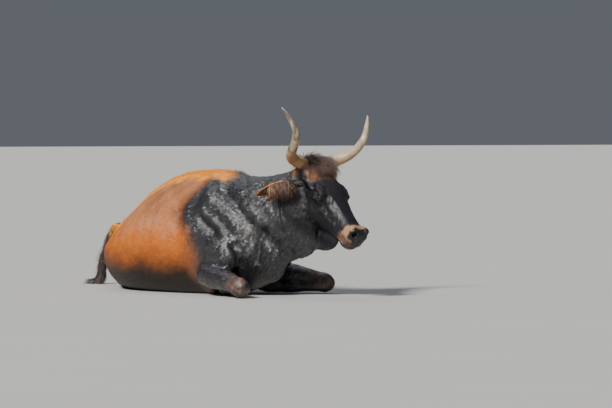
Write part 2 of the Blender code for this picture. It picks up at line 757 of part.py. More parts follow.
def trunk_nodes():
    """Rump, barrel, shoulders and neck, cut from one body."""
    body = thinned(fused("trunk", body_masses() + head_masses(), BODY_VOXEL, 8), 3400)
    body = floor_cut(body)
    point, way = head_seam()
    rest, spare = parted(body, point, way, "trunk", "spare")
    drop(spare)
    for behind, ahead, point, way in SEAMS:
        rest.name = "uncut"
        _, rest = parted(rest, point, way, behind, ahead)
    for name in ("rump", "barrel", "shoulders", "neck"):
        coat = "coat_brown" if name in ("rump", "barrel") else "coat_black"
        finish(keep_largest(node(name)), coat)


def lid_cutters(side):
    """The room for the eyeball and the opening between the lids."""
    x, y, z = EYE
    room = lump("room", (x, side * y, z), (EYE_RADIUS + GAP * 2,) * 3, segments=16)
    out = Vector((0.30, side * 0.92, 0.16)).normalized()
    along = Vector((0.92, side * -0.28, 0.24))
    along = (along - out * along.dot(out)).normalized()
    opening = lump("opening", (0, 0, 0), (0.0195, 0.0098, 0.017))
    turn = Matrix((along, out.cross(along), out)).transposed().to_4x4()
    opening.data.transform(Matrix.Translation(Vector((x, side * y, z)) + out * 0.017) @ turn)
    return [room, opening]


def nostril_cutter(side):
    points = [(0.545, side * 0.050, -0.040), (0.522, side * 0.043, -0.046), (0.500, side * 0.026, -0.052)]
    return tube("nostril", points, [(0.011, 0.016), (0.010, 0.014), (0.006, 0.008)], 5, 8)


def mouth_cutter(head):
    """A thin slot along the mouth, no deeper than the lips."""
    core = grown(head, -0.011)
    turn = np.linspace(0, 2 * math.pi, 20, endpoint=False)
    along = 0.475 + 0.10 * np.cos(turn)
    level = -0.122 - 0.008 * (1 - np.cos(turn))
    rings = [np.column_stack([along, 0.10 * np.sin(turn), level + up]) for up in (-0.0022, 0.0022)]
    slot = skin_rings("slot", rings)
    slot.data.transform(head_place())
    boolean(slot, [core], "DIFFERENCE")
    return slot


def head_node():
    """The head with sockets, lids, nostrils and the line of the mouth."""
    head = thinned(fused("head_mass", body_masses() + head_masses(), HEAD_VOXEL, 5), 15000)
    point, way = head_seam()
    spare, head = parted(head, point, way, "spare", "head")
    drop(spare)
    keep_largest(head)
    thinned(head, 2200)
    place = head_place()
    size = (EYE_RADIUS + 0.0046,) * 3
    lids = [lump("lid", (EYE.x, side * EYE.y, EYE.z), size, segments=16) for side in (-1, 1)]
    cuts = [c for side in (-1, 1) for c in (*lid_cutters(side), nostril_cutter(side))]
    for piece in lids + cuts:
        piece.data.transform(place)
    boolean(head, lids, "UNION")
    cuts.append(mouth_cutter(head))
    boolean(head, cuts, "DIFFERENCE")
    return finish(keep_largest(head), "coat_black")


def limb_nodes():
    masses = {**foreleg_masses(), **hindleg_masses()}
    for name, triangles, coat, neighbours in LIMBS:
        limb = floor_cut(thinned(fused(name, masses[name], LIMB_VOXEL, 4), triangles))
        finish(cut_by(limb, *map(node, neighbours)), coat)
    for name, neighbours in HOOF_NEIGHBOURS.items():
        made = floor_cut(thinned(hoof(name, *HOOVES[name]), 140))
        finish(cut_by(made, *map(node, neighbours)), "hoof")


def tail_nodes():
    tail = tube("tail", TAIL, TAIL_RADII, 12, 10)
    finish(cut_by(tail, node("rump"), node("barrel")), "coat_dark_brown")
    switch = tube("tail_switch", SWITCH, SWITCH_RADII, 10, 10)
    switch = floor_cut(keep_largest(boolean(switch, switch_locks(), "UNION")))
    finish(cut_by(switch, node("rump"), node("tail")), "coat_dark_brown")


def lock(root, way, fall, length, width, thick):
    """A flat tapered lock of hair that leaves root along way and bends towards fall."""
    way = way.normalized()
    side = way.cross(fall)
    if side.length < 0.05:
        side = way.cross(Vector((0.3, 0.5, 0.8)))
    side.normalize()
    spine = [root]
    heading = way.copy()
    for _ in range(3):
        spine.append(spine[-1] + heading * length / 3)
        heading = (heading + fall * 0.55).normalized()
    rings = []
    for k, share in enumerate((0.75, 1.0, 0.65)):
        ahead = (spine[k + 1] - spine[k]).normalized()
        flat = side * width * share / 2
        high = ahead.cross(side).normalized() * thick * share / 2
        rings.append([spine[k] + flat, spine[k] + high, spine[k] - flat, spine[k] - high])
    rings.append([spine[3] + (p - spine[2]) * 0.06 for p in rings[2]])
    obj = skin_rings("lock", [[tuple(p) for p in ring] for ring in rings])
    return obj, spine


def clear_of(points, path, room):
    """Whether every point keeps that much room from the path."""
    path = np.asarray(path, float)
    return all(np.linalg.norm(path - np.array(p), axis=1).min() > room for p in points)


def horn_line(side):
    """The middle line of a horn, in place."""
    outward, forward, up = head_axes(side)
    seat = head_place() @ Vector((HORN_SEAT.x, side * HORN_SEAT.y, HORN_SEAT.z))
    return [tuple(seat + outward * a + forward * b + up * c) for a, b, c in HORN_PATH]


POLL_ROWS = ((-0.028, 6), (0.006, 7), (0.042, 7), (0.078, 7))  # along the face, locks across
POLL_WIDTH = 0.086


def poll_locks(head):
    """Shaggy hair between the horns that falls over the forehead, most of it to the left."""
    chance = random.Random(7)
    place = head_place()
    turn = place.to_3x3()
    tree = BVHTree.FromObject(head, bpy.context.evaluated_depsgraph_get())
    horns = smooth_path(horn_line(1), 30).tolist() + smooth_path(horn_line(-1), 30).tolist()
    locks = []
    for t, y in ((t, y) for t, count in POLL_ROWS for y in np.linspace(-POLL_WIDTH, POLL_WIDTH, count)):
        t += chance.uniform(-0.008, 0.008)
        y = float(y) + chance.uniform(-0.006, 0.006)
        hit, normal, _, _ = tree.ray_cast(place @ Vector((t, y, 0.2)), turn @ Vector((0, 0, -1)))
        if hit is None:
            continue
        lie = turn @ Vector((0.85, 0.25 + 5.0 * y + chance.uniform(-0.15, 0.15), -0.10))
        lie.normalize()
        way = lie * 0.80 + normal * chance.uniform(0.30, 0.50)
        fall = lie * 0.6 - normal * 0.5 - Vector((0, 0, 0.35))
        length = chance.uniform(0.075, 0.110) * (1.0 if t < 0.07 else 0.8)
        made, spine = lock(hit - normal * 0.007, way, fall, length, chance.uniform(0.020, 0.028), 0.009)
        if clear_of(spine, horns, 0.040):
            locks.append(made)
        else:
            drop(made)
    return locks


EAR_LOCKS = 11


def ear_locks(side):
    """Long hair that hangs from the ear's upper rim over its mouth."""
    chance = random.Random(20 + side)
    _, line, mouth, rim = ear_frame(side)
    high = 1 if rim.z > 0 else -1
    locks = []
    for k in range(EAR_LOCKS):
        s = 0.14 + 0.46 * k / EAR_LOCKS
        v = high * (0.45 + 0.40 * (k % 3) / 2)
        start = ear_point(side, s, v, 0.004 * (1 - 0.45 * s))
        way = mouth * 0.90 + rim * high * 0.20 + line * 0.10
        fall = Vector((0, 0, -1.2)) + line * 0.25
        length = chance.uniform(0.080, 0.105) * (1.0 - 0.45 * s)
        made, _ = lock(start, way, fall, length, chance.uniform(0.014, 0.020), 0.007)
        locks.append(made)
    return locks


SWITCH_LOCKS = 12


def switch_locks():
    """The long hair of the tail's end."""
    chance = random.Random(5)
    line = smooth_path(SWITCH, 40)
    locks = []
    for k in range(SWITCH_LOCKS):
        i = int(3 + 24 * k / SWITCH_LOCKS)
        ahead = Vector(line[i + 4] - line[i]).normalized()
        round_ = chance.uniform(-math.pi, math.pi)
        across = ahead.cross(Vector((0, 0, 1))).normalized()
        out = across * math.cos(round_) + across.cross(ahead) * math.sin(round_)
        start = Vector(line[i]) + out * 0.012
        way = ahead + out * 0.35 + Vector((0, 0, 0.10))
        droop = Vector((0, 0, 0.05 if start.z < 0.05 else -0.2))
        fall = Vector(line[min(i + 10, 39)] - line[i]).normalized() + droop
        length = chance.uniform(0.070, 0.105)
        made, _ = lock(start, way, fall, length, chance.uniform(0.016, 0.022), 0.010)
        locks.append(made)
    return locks


def head_parts():
    """Eyes, horns and ears, then the hair on the poll."""
    head, neck = node("head"), node("neck")
    for side, word in ((1, "left"), (-1, "right")):
        finish(eye("eye_" + word, side), "eye")
        finish(cut_by(horn("horn_" + word, side), head, neck), "horn")
        made = boolean(ear("ear_" + word, side), ear_locks(side), "UNION")
        finish(cut_by(made, head, neck), "coat_dark_brown")
    boolean(head, poll_locks(head), "UNION")
    finish(cut_by(head, node("horn_left"), node("horn_right")), "coat_black")


def to_row_frame():
    """Moves everything so that the middle of the outer box, at floor level, is the origin."""
    points = np.array([v.co[:] for obj in bpy.data.objects for v in obj.data.vertices])
    low, high = points.min(axis=0), points.max(axis=0)
    shift = -Vector(((low[0] + high[0]) / 2, (low[1] + high[1]) / 2, low[2]))
    for obj in bpy.data.objects:
        obj.data.transform(Matrix.Translation(shift))


def build():
    clear_scene()
    trunk_nodes()
    head_node()
    limb_nodes()
    tail_nodes()
    head_parts()
    to_row_frame()


build()
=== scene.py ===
"""A heck cattle cow lying at rest, life-size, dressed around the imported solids.

Skin, coat, horns, hooves and eyes are built in the frame in which the animal was measured,
and then moved to the frame of the solids.
"""

import logging
import math
from dataclasses import dataclass, field, replace
from enum import Enum
from typing import Callable, Sequence

import bmesh
import bpy
import numpy as np
from mathutils import Matrix, Vector
from mathutils.kdtree import KDTree


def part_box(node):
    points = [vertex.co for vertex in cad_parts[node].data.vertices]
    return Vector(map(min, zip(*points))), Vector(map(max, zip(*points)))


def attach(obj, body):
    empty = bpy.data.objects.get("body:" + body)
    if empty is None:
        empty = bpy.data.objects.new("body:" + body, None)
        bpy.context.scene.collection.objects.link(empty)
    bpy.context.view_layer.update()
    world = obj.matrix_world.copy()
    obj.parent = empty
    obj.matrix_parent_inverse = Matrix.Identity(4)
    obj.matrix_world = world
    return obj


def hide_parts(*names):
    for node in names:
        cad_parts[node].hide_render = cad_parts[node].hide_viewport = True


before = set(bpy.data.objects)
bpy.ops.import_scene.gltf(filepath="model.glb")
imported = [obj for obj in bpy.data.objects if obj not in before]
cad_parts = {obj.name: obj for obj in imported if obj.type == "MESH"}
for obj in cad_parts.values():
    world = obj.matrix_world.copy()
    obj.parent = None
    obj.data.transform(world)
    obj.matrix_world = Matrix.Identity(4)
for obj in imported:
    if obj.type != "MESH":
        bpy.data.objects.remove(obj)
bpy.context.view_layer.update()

log = logging.getLogger("heck_cattle")

Point = Sequence[float]
Array = np.ndarray
Marks = dict[str, Array]


def unit(rows: Array) -> Array:
    """Rows scaled to length one."""
    return rows / np.maximum(np.linalg.norm(rows, axis=-1, keepdims=True), 1e-12)


def lengths(rows: Array) -> Array:
    """How long each row is."""
    return np.linalg.norm(rows, axis=1)


def rise(low: float, high: float, values: Array) -> Array:
    """Smooth change from 0 where values are at low to 1 where they are at high."""
    u = np.clip((values - low) / (high - low), 0, 1)
    return u * u * (3 - 2 * u)


def wane(low: float, high: float, values: Array) -> Array:
    """Smooth change from 1 where values are at low to 0 where they are at high."""
    return 1 - rise(low, high, values)


def hump(distance: Array, width: float) -> Array:
    """A rounded hill, 1 at no distance and nearly 0 at twice the width."""
    return np.exp(-((distance / width) ** 2))


def flow(knots: Sequence[float], values: Sequence, at: Sequence[float]) -> Array:
    """A smooth curve without overshoot.

    Args:
        knots: rising places where the values are given.
        values: one row for each knot.
        at: the places to read.

    Returns:
        One row for each place.
    """
    x = np.asarray(knots, float)
    y = np.asarray(values, float).reshape(len(x), -1)
    width = np.diff(x)
    slope = np.diff(y, axis=0) / width[:, None]
    tangent = np.zeros_like(y)
    tangent[0] = slope[0]
    tangent[-1] = slope[-1]
    before, after = slope[:-1], slope[1:]
    total = np.abs(before) + np.abs(after) + 1e-12
    mean = 2 * np.abs(before) * np.abs(after) / total * np.sign(before)
    tangent[1:-1] = np.where(before * after > 0, mean, 0)
    at = np.asarray(at, float)
    i = np.clip(np.searchsorted(x, at) - 1, 0, len(x) - 2)
    h = width[i][:, None]
    u = ((at - x[i])[:, None]) / h
    start = (2 * u**3 - 3 * u**2 + 1) * y[i] + (u**3 - 2 * u**2 + u) * h * tangent[i]
    return start + (-2 * u**3 + 3 * u**2) * y[i + 1] + (u**3 - u**2) * h * tangent[i + 1]


def smooth_path(points: Sequence[Point], count: int) -> Array:
    """A smooth line through points.

    Args:
        points: what the line passes through.
        count: how many points to return.

    Returns:
        Points evenly spaced along the line.
    """
    pts = np.asarray(points, float)
    ends = np.vstack([2 * pts[0] - pts[1], pts, 2 * pts[-1] - pts[-2]])
    fine = []
    for p0, p1, p2, p3 in zip(ends, ends[1:], ends[2:], ends[3:]):
        for u in np.linspace(0, 1, 24, endpoint=False):
            bend = (2 * p0 - 5 * p1 + 4 * p2 - p3) * u**2 + (3 * p1 - p0 - 3 * p2 + p3) * u**3
            fine.append(0.5 * (2 * p1 + (p2 - p0) * u + bend))
    fine = np.array([*fine, ends[-2]])
    run = np.concatenate([[0], np.cumsum(lengths(np.diff(fine, axis=0)))])
    at = np.linspace(0, run[-1], count)
    return np.column_stack([np.interp(at, run, fine[:, k]) for k in range(3)])


def nearest(points: Array, path: Array) -> tuple[Array, Array, Array]:
    """How points lie beside a line.

    Args:
        points: n points.
        path: the corners of the line.

    Returns:
        For each point its distance, its share of the line's length and the line's direction there.
    """
    best = np.full(len(points), np.inf)
    share = np.zeros(len(points))
    way = np.zeros((len(points), 3))
    legs = np.diff(path, axis=0)
    sizes = lengths(legs)
    run = np.concatenate([[0], np.cumsum(sizes)])
    for k, (a, d) in enumerate(zip(path, legs)):
        u = np.clip(((points - a) @ d) / (d @ d), 0, 1)
        gap = lengths(points - a - u[:, None] * d)
        near = gap < best
        best[near] = gap[near]
        share[near] = (run[k] + u[near] * sizes[k]) / run[-1]
        way[near] = d / sizes[k]
    return best, share, way


def folded(points: Array) -> Array:
    """Points of both sides laid on the left one."""
    return np.column_stack([points[:, 0], np.abs(points[:, 1]), points[:, 2]])


def flattened(ways: Array, normals: Array) -> Array:
    """Directions laid along the skin."""
    return unit(ways - normals * np.einsum("ij,ij->i", ways, normals)[:, None])


def waves(points: Array, scale: float, seed: int) -> Array:
    """Soft random hills and hollows.

    Args:
        points: where they are read.
        scale: about how wide one is, in metres.
        seed: which ones.

    Returns:
        A height from about -1 to 1 for each point.
    """
    chance = np.random.default_rng(seed)
    total = np.zeros(len(points))
    for _ in range(7):
        way = chance.normal(size=3)
        way = way / np.linalg.norm(way) * (2 * math.pi / scale) * chance.uniform(0.6, 1.5)
        total += np.sin(points @ way + chance.uniform(0, 6.3))
    return total / 4


def drift(points: Array, scale: float, seed: int) -> Array:
    """Soft random directions that change over about scale metres."""
    return np.column_stack([waves(points, scale, seed + k) for k in range(3)])


def placed(name: str, data: bpy.types.ID) -> bpy.types.Object:
    """A new object linked to the scene."""
    obj = bpy.data.objects.new(name, data)
    bpy.context.scene.collection.objects.link(obj)
    return obj


@dataclass
class Surface:
    """A triangle mesh held as arrays."""

    points: Array
    triangles: Array
    shading: Array | None = None

    @classmethod
    def of(cls, obj: bpy.types.Object) -> "Surface":
        """The triangles of an object, which is then removed."""
        mesh = obj.data
        mesh.calc_loop_triangles()
        points = np.empty(len(mesh.vertices) * 3, np.float32)
        mesh.vertices.foreach_get("co", points)
        triangles = np.empty(len(mesh.loop_triangles) * 3, np.int32)
        mesh.loop_triangles.foreach_get("vertices", triangles)
        bpy.data.objects.remove(obj)
        return cls(points.reshape(-1, 3).astype(float), triangles.reshape(-1, 3))

    def face_normals(self) -> Array:
        """Each triangle's outward direction, as long as twice its area."""
        a, b, c = (self.points[self.triangles[:, k]] for k in range(3))
        return np.cross(b - a, c - a)

    def normals(self) -> Array:
        """The outward direction at each point."""
        faces = self.face_normals()
        total = np.zeros_like(self.points)
        for axis in range(3):
            for corner in range(3):
                counted = np.bincount(self.triangles[:, corner], faces[:, axis], len(self.points))
                total[:, axis] += counted
        return unit(total)

    def turned_out(self) -> "Surface":
        """The same closed surface, its triangles turned to face outwards."""
        volume = np.einsum("ij,ij->i", self.points[self.triangles[:, 0]], self.face_normals()).sum()
        if volume < 0:
            self.triangles = self.triangles[:, ::-1]
        return self

    def soften(self, rounds: int, weight: Array | float = 1.0) -> None:
        """Draws each point towards the middle of its neighbours.

        Args:
            rounds: how many times.
            weight: how strongly, from 0 to 1, for each point or for all.
        """
        pairs = np.vstack([self.triangles[:, [a, b]] for a, b in ((0, 1), (1, 2), (2, 0))])
        count = np.bincount(pairs[:, 0], minlength=len(self.points))[:, None]
        amount = np.broadcast_to(np.asarray(weight, float), (len(self.points),))[:, None] * 0.5
        for _ in range(rounds):
            total = np.column_stack(
                [np.bincount(pairs[:, 0], self.points[pairs[:, 1], k], len(self.points)) for k in range(3)]
            )
            self.points += (total / np.maximum(count, 1) - self.points) * amount

    def push(self, height: Array) -> None:
        """Moves each point along its normal by its height."""
        self.points += self.normals() * height[:, None]

    def to_object(self, name: str, marks: Marks, material: bpy.types.Material) -> bpy.types.Object:
        """Makes the Blender object.

        Args:
            name: the piece's name.
            marks: values for each point, kept as attributes.
            material: its finish.

        Returns:
            The object, linked to the scene.
        """
        mesh = bpy.data.meshes.new(name)
        mesh.vertices.add(len(self.points))
        mesh.vertices.foreach_set("co", self.points.astype(np.float32).ravel())
        mesh.loops.add(self.triangles.size)
        mesh.loops.foreach_set("vertex_index", self.triangles.astype(np.int32).ravel())
        mesh.polygons.add(len(self.triangles))
        mesh.polygons.foreach_set("loop_start", np.arange(0, self.triangles.size, 3, dtype=np.int32))
        mesh.polygons.foreach_set("use_smooth", np.ones(len(self.triangles), bool))
        mesh.update(calc_edges=True)
        mesh.validate()
        for key, values in marks.items():
            layer = mesh.attributes.new(key, "FLOAT", "POINT")
            layer.data.foreach_set("value", values.astype(np.float32))
        if self.shading is not None:
            mesh.normals_split_custom_set_from_vertices(self.shading.tolist())
        mesh.materials.append(material)
        log.info("%s: %d triangles", name, len(self.triangles))
        return placed(name, mesh)


@dataclass
class Clay:
    """Closed forms that are grown together into one body."""

    voxel: float
    rounds: int
    pieces: list[bpy.types.Object] = field(default_factory=list)

    def keep(self, shape: bmesh.types.BMesh) -> None:
        """Puts a finished form with the others."""
        mesh = bpy.data.meshes.new("form")
        shape.to_mesh(mesh)
        shape.free()
        self.pieces.append(placed("form", mesh))

    def add(self, points: Array, faces: list[list[int]], place: Matrix | None) -> None:
        """Adds a closed form, moved by place."""
        mesh = bpy.data.meshes.new("corners")
        mesh.from_pydata([tuple(p) for p in points], [], faces)
        shape = bmesh.new()
        shape.from_mesh(mesh)
        bmesh.ops.recalc_face_normals(shape, faces=shape.faces)
        if place:
            bmesh.ops.transform(shape, matrix=place, verts=shape.verts)
        self.keep(shape)

    def loft(self, rings: Sequence[Array], place: Matrix | None = None) -> None:
        """Adds a body over rings of points.

        Args:
            rings: each with the same count of points.
            place: where it is carried to afterwards.
        """
        count = len(rings[0])
        faces = [list(range(count))[::-1]]
        for k in range(len(rings) - 1):
            low, high = k * count, (k + 1) * count
            for j in range(count):
                n = (j + 1) % count
                faces.append([low + j, low + n, high + n, high + j])
        faces.append([(len(rings) - 1) * count + j for j in range(count)])
        self.add(np.vstack(rings), faces, place)

    def tube(self, points: Sequence[Point], radii: Sequence, count: int, place: Matrix | None = None) -> None:
        """Adds a round-ended limb; radii are (sideways, up) at each point."""
        self.loft(tube_rings(points, radii, count, 20), place)

    def lump(self, centre: Point, radii: Point, turn: Point = (0, 0, 0), place: Matrix | None = None) -> None:
        """Adds an egg-shaped swelling.

        Args:
            centre: its middle.
            radii: half its sizes along X, Y and Z.
            turn: degrees about X, Y and Z.
            place: where it is carried to afterwards.
        """
        shape = bmesh.new()
        bmesh.ops.create_uvsphere(shape, u_segments=28, v_segments=16, radius=1.0)
        x, y, z = (math.radians(a) for a in turn)
        spin = Matrix.Rotation(z, 4, "Z") @ Matrix.Rotation(y, 4, "Y") @ Matrix.Rotation(x, 4, "X")
        where = (place or Matrix()) @ Matrix.Translation(Vector(centre)) @ spin
        where = where @ Matrix.Diagonal((*radii, 1.0))
        bmesh.ops.transform(shape, matrix=where, verts=shape.verts)
        self.keep(shape)

    def grow(self) -> bpy.types.Object:
        """Fuses the forms into one smooth body."""
        shape = bmesh.new()
        for obj in self.pieces:
            shape.from_mesh(obj.data)
            bpy.data.objects.remove(obj)
        mesh = bpy.data.meshes.new("grown")
        shape.to_mesh(mesh)
        shape.free()
        body = placed("grown", mesh)
        remesh = body.modifiers.new("grow_together", "REMESH")
        remesh.mode = "VOXEL"
        remesh.voxel_size = self.voxel
        soften = body.modifiers.new("soften", "SMOOTH")
        soften.factor = 0.5
        soften.iterations = self.rounds
        graph = bpy.context.evaluated_depsgraph_get()
        fused = bpy.data.meshes.new_from_object(body.evaluated_get(graph))
        body.modifiers.clear()
        body.data = fused
        return body


def tube_rings(points: Sequence[Point], radii: Sequence, count: int, sides: int) -> list[Array]:
    """Rings of a round-ended tube round a smooth line.

    Args:
        points: what the line passes through.
        radii: (sideways, up) at each point.
        count: rings along the line.
        sides: points in a ring.

    Returns:
        The rings from first to last.
    """
    line = smooth_path(points, count)
    pts = np.asarray(points, float)
    run = np.concatenate([[0], np.cumsum(lengths(np.diff(pts, axis=0)))])
    size = flow(run / run[-1], radii, np.linspace(0, 1, count))
    along = unit(np.gradient(line, axis=0))
    frames = []
    across = None
    for tangent in along:
        hint = np.array((0, 0, 1.0)) if across is None else -np.cross(across, tangent)
        across = unit(np.cross(hint, tangent))
        frames.append((across, np.cross(tangent, across)))
    rings = list(zip(line, frames, size))
    for a in (math.radians(35), math.radians(60), math.radians(80)):
        first = line[0] - along[0] * size[0].min() * math.sin(a)
        last = line[-1] + along[-1] * size[-1].min() * math.sin(a)
        rings.insert(0, (first, frames[0], size[0] * math.cos(a)))
        rings.append((last, frames[-1], size[-1] * math.cos(a)))
    spread = np.linspace(0, 2 * math.pi, sides, endpoint=False)
    return [
        centre + np.outer(np.cos(spread) * wide, side) + np.outer(np.sin(spread) * high, up)
        for centre, (side, up), (wide, high) in rings
    ]


def oval(
    left: float, right: float, top: float, bottom: float, middle: float, crests: Point, keel: float
) -> tuple[Array, Array]:
    """A cross-section as sideways and upward distances.

    Args:
        left: reach to the left.
        right: reach to the right.
        top: highest level.
        bottom: lowest level.
        middle: level of the greatest width.
        crests: roundness of the upper left and upper right, 2 for round.
        keel: roundness of the underside.

    Returns:
        Two arrays, sideways and up.
    """
    turn = np.linspace(0, 2 * math.pi, 64, endpoint=False)
    c, s = np.cos(turn), np.sin(turn)
    power = np.where(s >= 0, np.where(c >= 0, crests[0], crests[1]), keel)
    side = np.where(c >= 0, left, right) * np.sign(c) * np.abs(c) ** (2 / power)
    reach = np.where(s >= 0, top - middle, middle - bottom)
    return side, middle + reach * np.sign(s) * np.abs(s) ** (2 / power)


@dataclass
class Trunk:
    """Torso and neck, with the muscles and bones that show through."""

    # x and y
    back_line: Sequence[Point] = (
        (-0.93, 0.19), (-0.72, 0.142), (-0.5, 0.085), (-0.25, 0.034), (0.0, 0.004),
        (0.4, 0.0), (0.62, 0.02), (0.8, 0.052), (0.95, 0.1), (1.1, 0.17),
    )
    # x, top, bottom, middle, left, right, lean, left crest, right crest, keel
    torso: Sequence[Point] = (
        (-0.905, 0.160, 0.080, 0.13, 0.040, 0.020, 0.030, 2.0, 1.6, 2.0),
        (-0.870, 0.235, 0.000, 0.14, 0.120, 0.035, 0.070, 2.0, 1.4, 2.2),
        (-0.800, 0.300, -0.030, 0.15, 0.190, 0.062, 0.093, 1.9, 1.3, 2.3),
        (-0.700, 0.352, -0.030, 0.16, 0.250, 0.105, 0.087, 1.8, 1.2, 2.3),
        (-0.600, 0.396, -0.030, 0.17, 0.290, 0.157, 0.075, 1.7, 1.2, 2.3),
        (-0.500, 0.445, -0.030, 0.18, 0.315, 0.210, 0.065, 1.6, 1.1, 2.3),
        (-0.400, 0.494, -0.030, 0.19, 0.330, 0.262, 0.050, 1.5, 1.1, 2.3),
        (-0.300, 0.546, -0.030, 0.22, 0.340, 0.322, 0.040, 1.5, 1.12, 2.3),
        (-0.200, 0.591, -0.030, 0.25, 0.350, 0.370, 0.025, 1.5, 1.15, 2.3),
        (-0.100, 0.630, -0.030, 0.26, 0.355, 0.383, 0.015, 1.6, 1.25, 2.3),
        (0.000, 0.658, -0.030, 0.27, 0.355, 0.373, 0.005, 1.7, 1.4, 2.3),
        (0.200, 0.688, -0.030, 0.28, 0.325, 0.335, 0.000, 1.6, 1.6, 2.2),
        (0.400, 0.700, -0.020, 0.30, 0.275, 0.275, 0.000, 1.6, 1.6, 2.1),
        (0.560, 0.690, 0.000, 0.31, 0.240, 0.240, 0.000, 1.7, 1.7, 2.0),
        (0.700, 0.640, 0.030, 0.31, 0.200, 0.200, 0.000, 1.8, 1.8, 1.9),
        (0.800, 0.540, 0.070, 0.29, 0.150, 0.150, 0.000, 2.0, 2.0, 1.8),
        (0.870, 0.420, 0.120, 0.27, 0.100, 0.100, 0.000, 2.0, 2.0, 1.8),
        (0.910, 0.330, 0.180, 0.25, 0.040, 0.040, 0.000, 2.0, 2.0, 2.0),
    )
    neck: Sequence[Point] = (
        (0.420, 0.640, 0.150, 0.40, 0.180, 0.180, 0.000, 2.0, 2.0, 2.0),
        (0.560, 0.672, 0.120, 0.40, 0.190, 0.190, 0.000, 1.9, 1.9, 1.7),
        (0.700, 0.668, 0.120, 0.40, 0.175, 0.175, 0.000, 1.8, 1.8, 1.5),
        (0.820, 0.676, 0.150, 0.41, 0.148, 0.148, 0.000, 1.75, 1.75, 1.35),
        (0.920, 0.698, 0.180, 0.42, 0.122, 0.120, 0.000, 1.75, 1.7, 1.25),
        (1.000, 0.715, 0.205, 0.43, 0.106, 0.102, 0.000, 1.8, 1.7, 1.2),
        (1.060, 0.690, 0.230, 0.44, 0.090, 0.086, 0.000, 1.8, 1.7, 1.2),
        (1.090, 0.640, 0.300, 0.44, 0.050, 0.050, 0.000, 2.0, 2.0, 1.4),
    )

    def section_rings(self, table: Sequence[Point], count: int) -> list[Array]:
        """Rings square to the back line.

        Args:
            table: sections from rear to front.
            count: how many rings.

        Returns:
            The rings.
        """
        rows = np.array(table, float)
        xs = np.linspace(rows[0, 0], rows[-1, 0], count)
        sections = flow(rows[:, 0], rows[:, 1:], xs)
        line = np.array(self.back_line, float)
        ys = flow(line[:, 0], line[:, 1], xs)[:, 0]
        rings = []
        for x, y, m, row in zip(xs, ys, np.gradient(ys, xs), sections):
            top, bottom, middle, left, right, lean, crest_left, crest_right, keel = row
            side, up = oval(left, right, top, bottom, middle, (crest_left, crest_right), keel)
            side = side - lean * (up - bottom) / (top - bottom)
            across = np.array((-m, 1.0)) / math.hypot(m, 1.0)
            rings.append(np.column_stack([x + across[0] * side, y + across[1] * side, up]))
        return rings

    def model(self, clay: Clay) -> None:
        """Adds the torso and neck with their muscles and bones.

        Args:
            clay: the forms that are to be fused.
        """
        clay.loft(self.section_rings(self.torso, 120))
        clay.loft(self.section_rings(self.neck, 70))
        for side in (-1, 1):
            blade = (0.47, side * 0.17 + 0.01, 0.42)
            clay.lump(blade, (0.12, 0.075, 0.21), (side * 14, 26, side * 4))
            clay.lump((0.62, side * 0.19 + 0.02, 0.25), (0.16, 0.075, 0.12), (0, 22, side * 4))
        clay.lump((1.085, 0.205, 0.35), (0.125, 0.036, 0.1), (0, 8, 8))
        clay.lump((0.98, 0.172, 0.36), (0.12, 0.06, 0.125), (0, 4, 14))
        clay.lump((0.79, 0.05, 0.17), (0.11, 0.07, 0.105), (0, 0, 14))
        clay.lump((-0.46, 0.2, 0.385), (0.11, 0.07, 0.055), (20, 10, -16))
        clay.lump((-0.585, 0.215, 0.245), (0.29, 0.15, 0.19), (10, 8, -20))
        clay.lump((-0.78, 0.235, 0.19), (0.125, 0.105, 0.15), (0, 0, -20))
        clay.lump((-0.5, -0.03, 0.29), (0.11, 0.075, 0.1), (0, 14, -16))
        clay.lump((-0.47, 0.015, 0.125), (0.26, 0.14, 0.15), (0, 0, -22))

    def crest_line(self) -> Array:
        """The ridge of the back from the tail head to the withers."""
        rows = np.array(self.torso, float)[2:14]
        line = np.array(self.back_line, float)
        ys = flow(line[:, 0], line[:, 1], rows[:, 0])[:, 0]
        return np.column_stack([rows[:, 0], ys - rows[:, 6], rows[:, 1]])


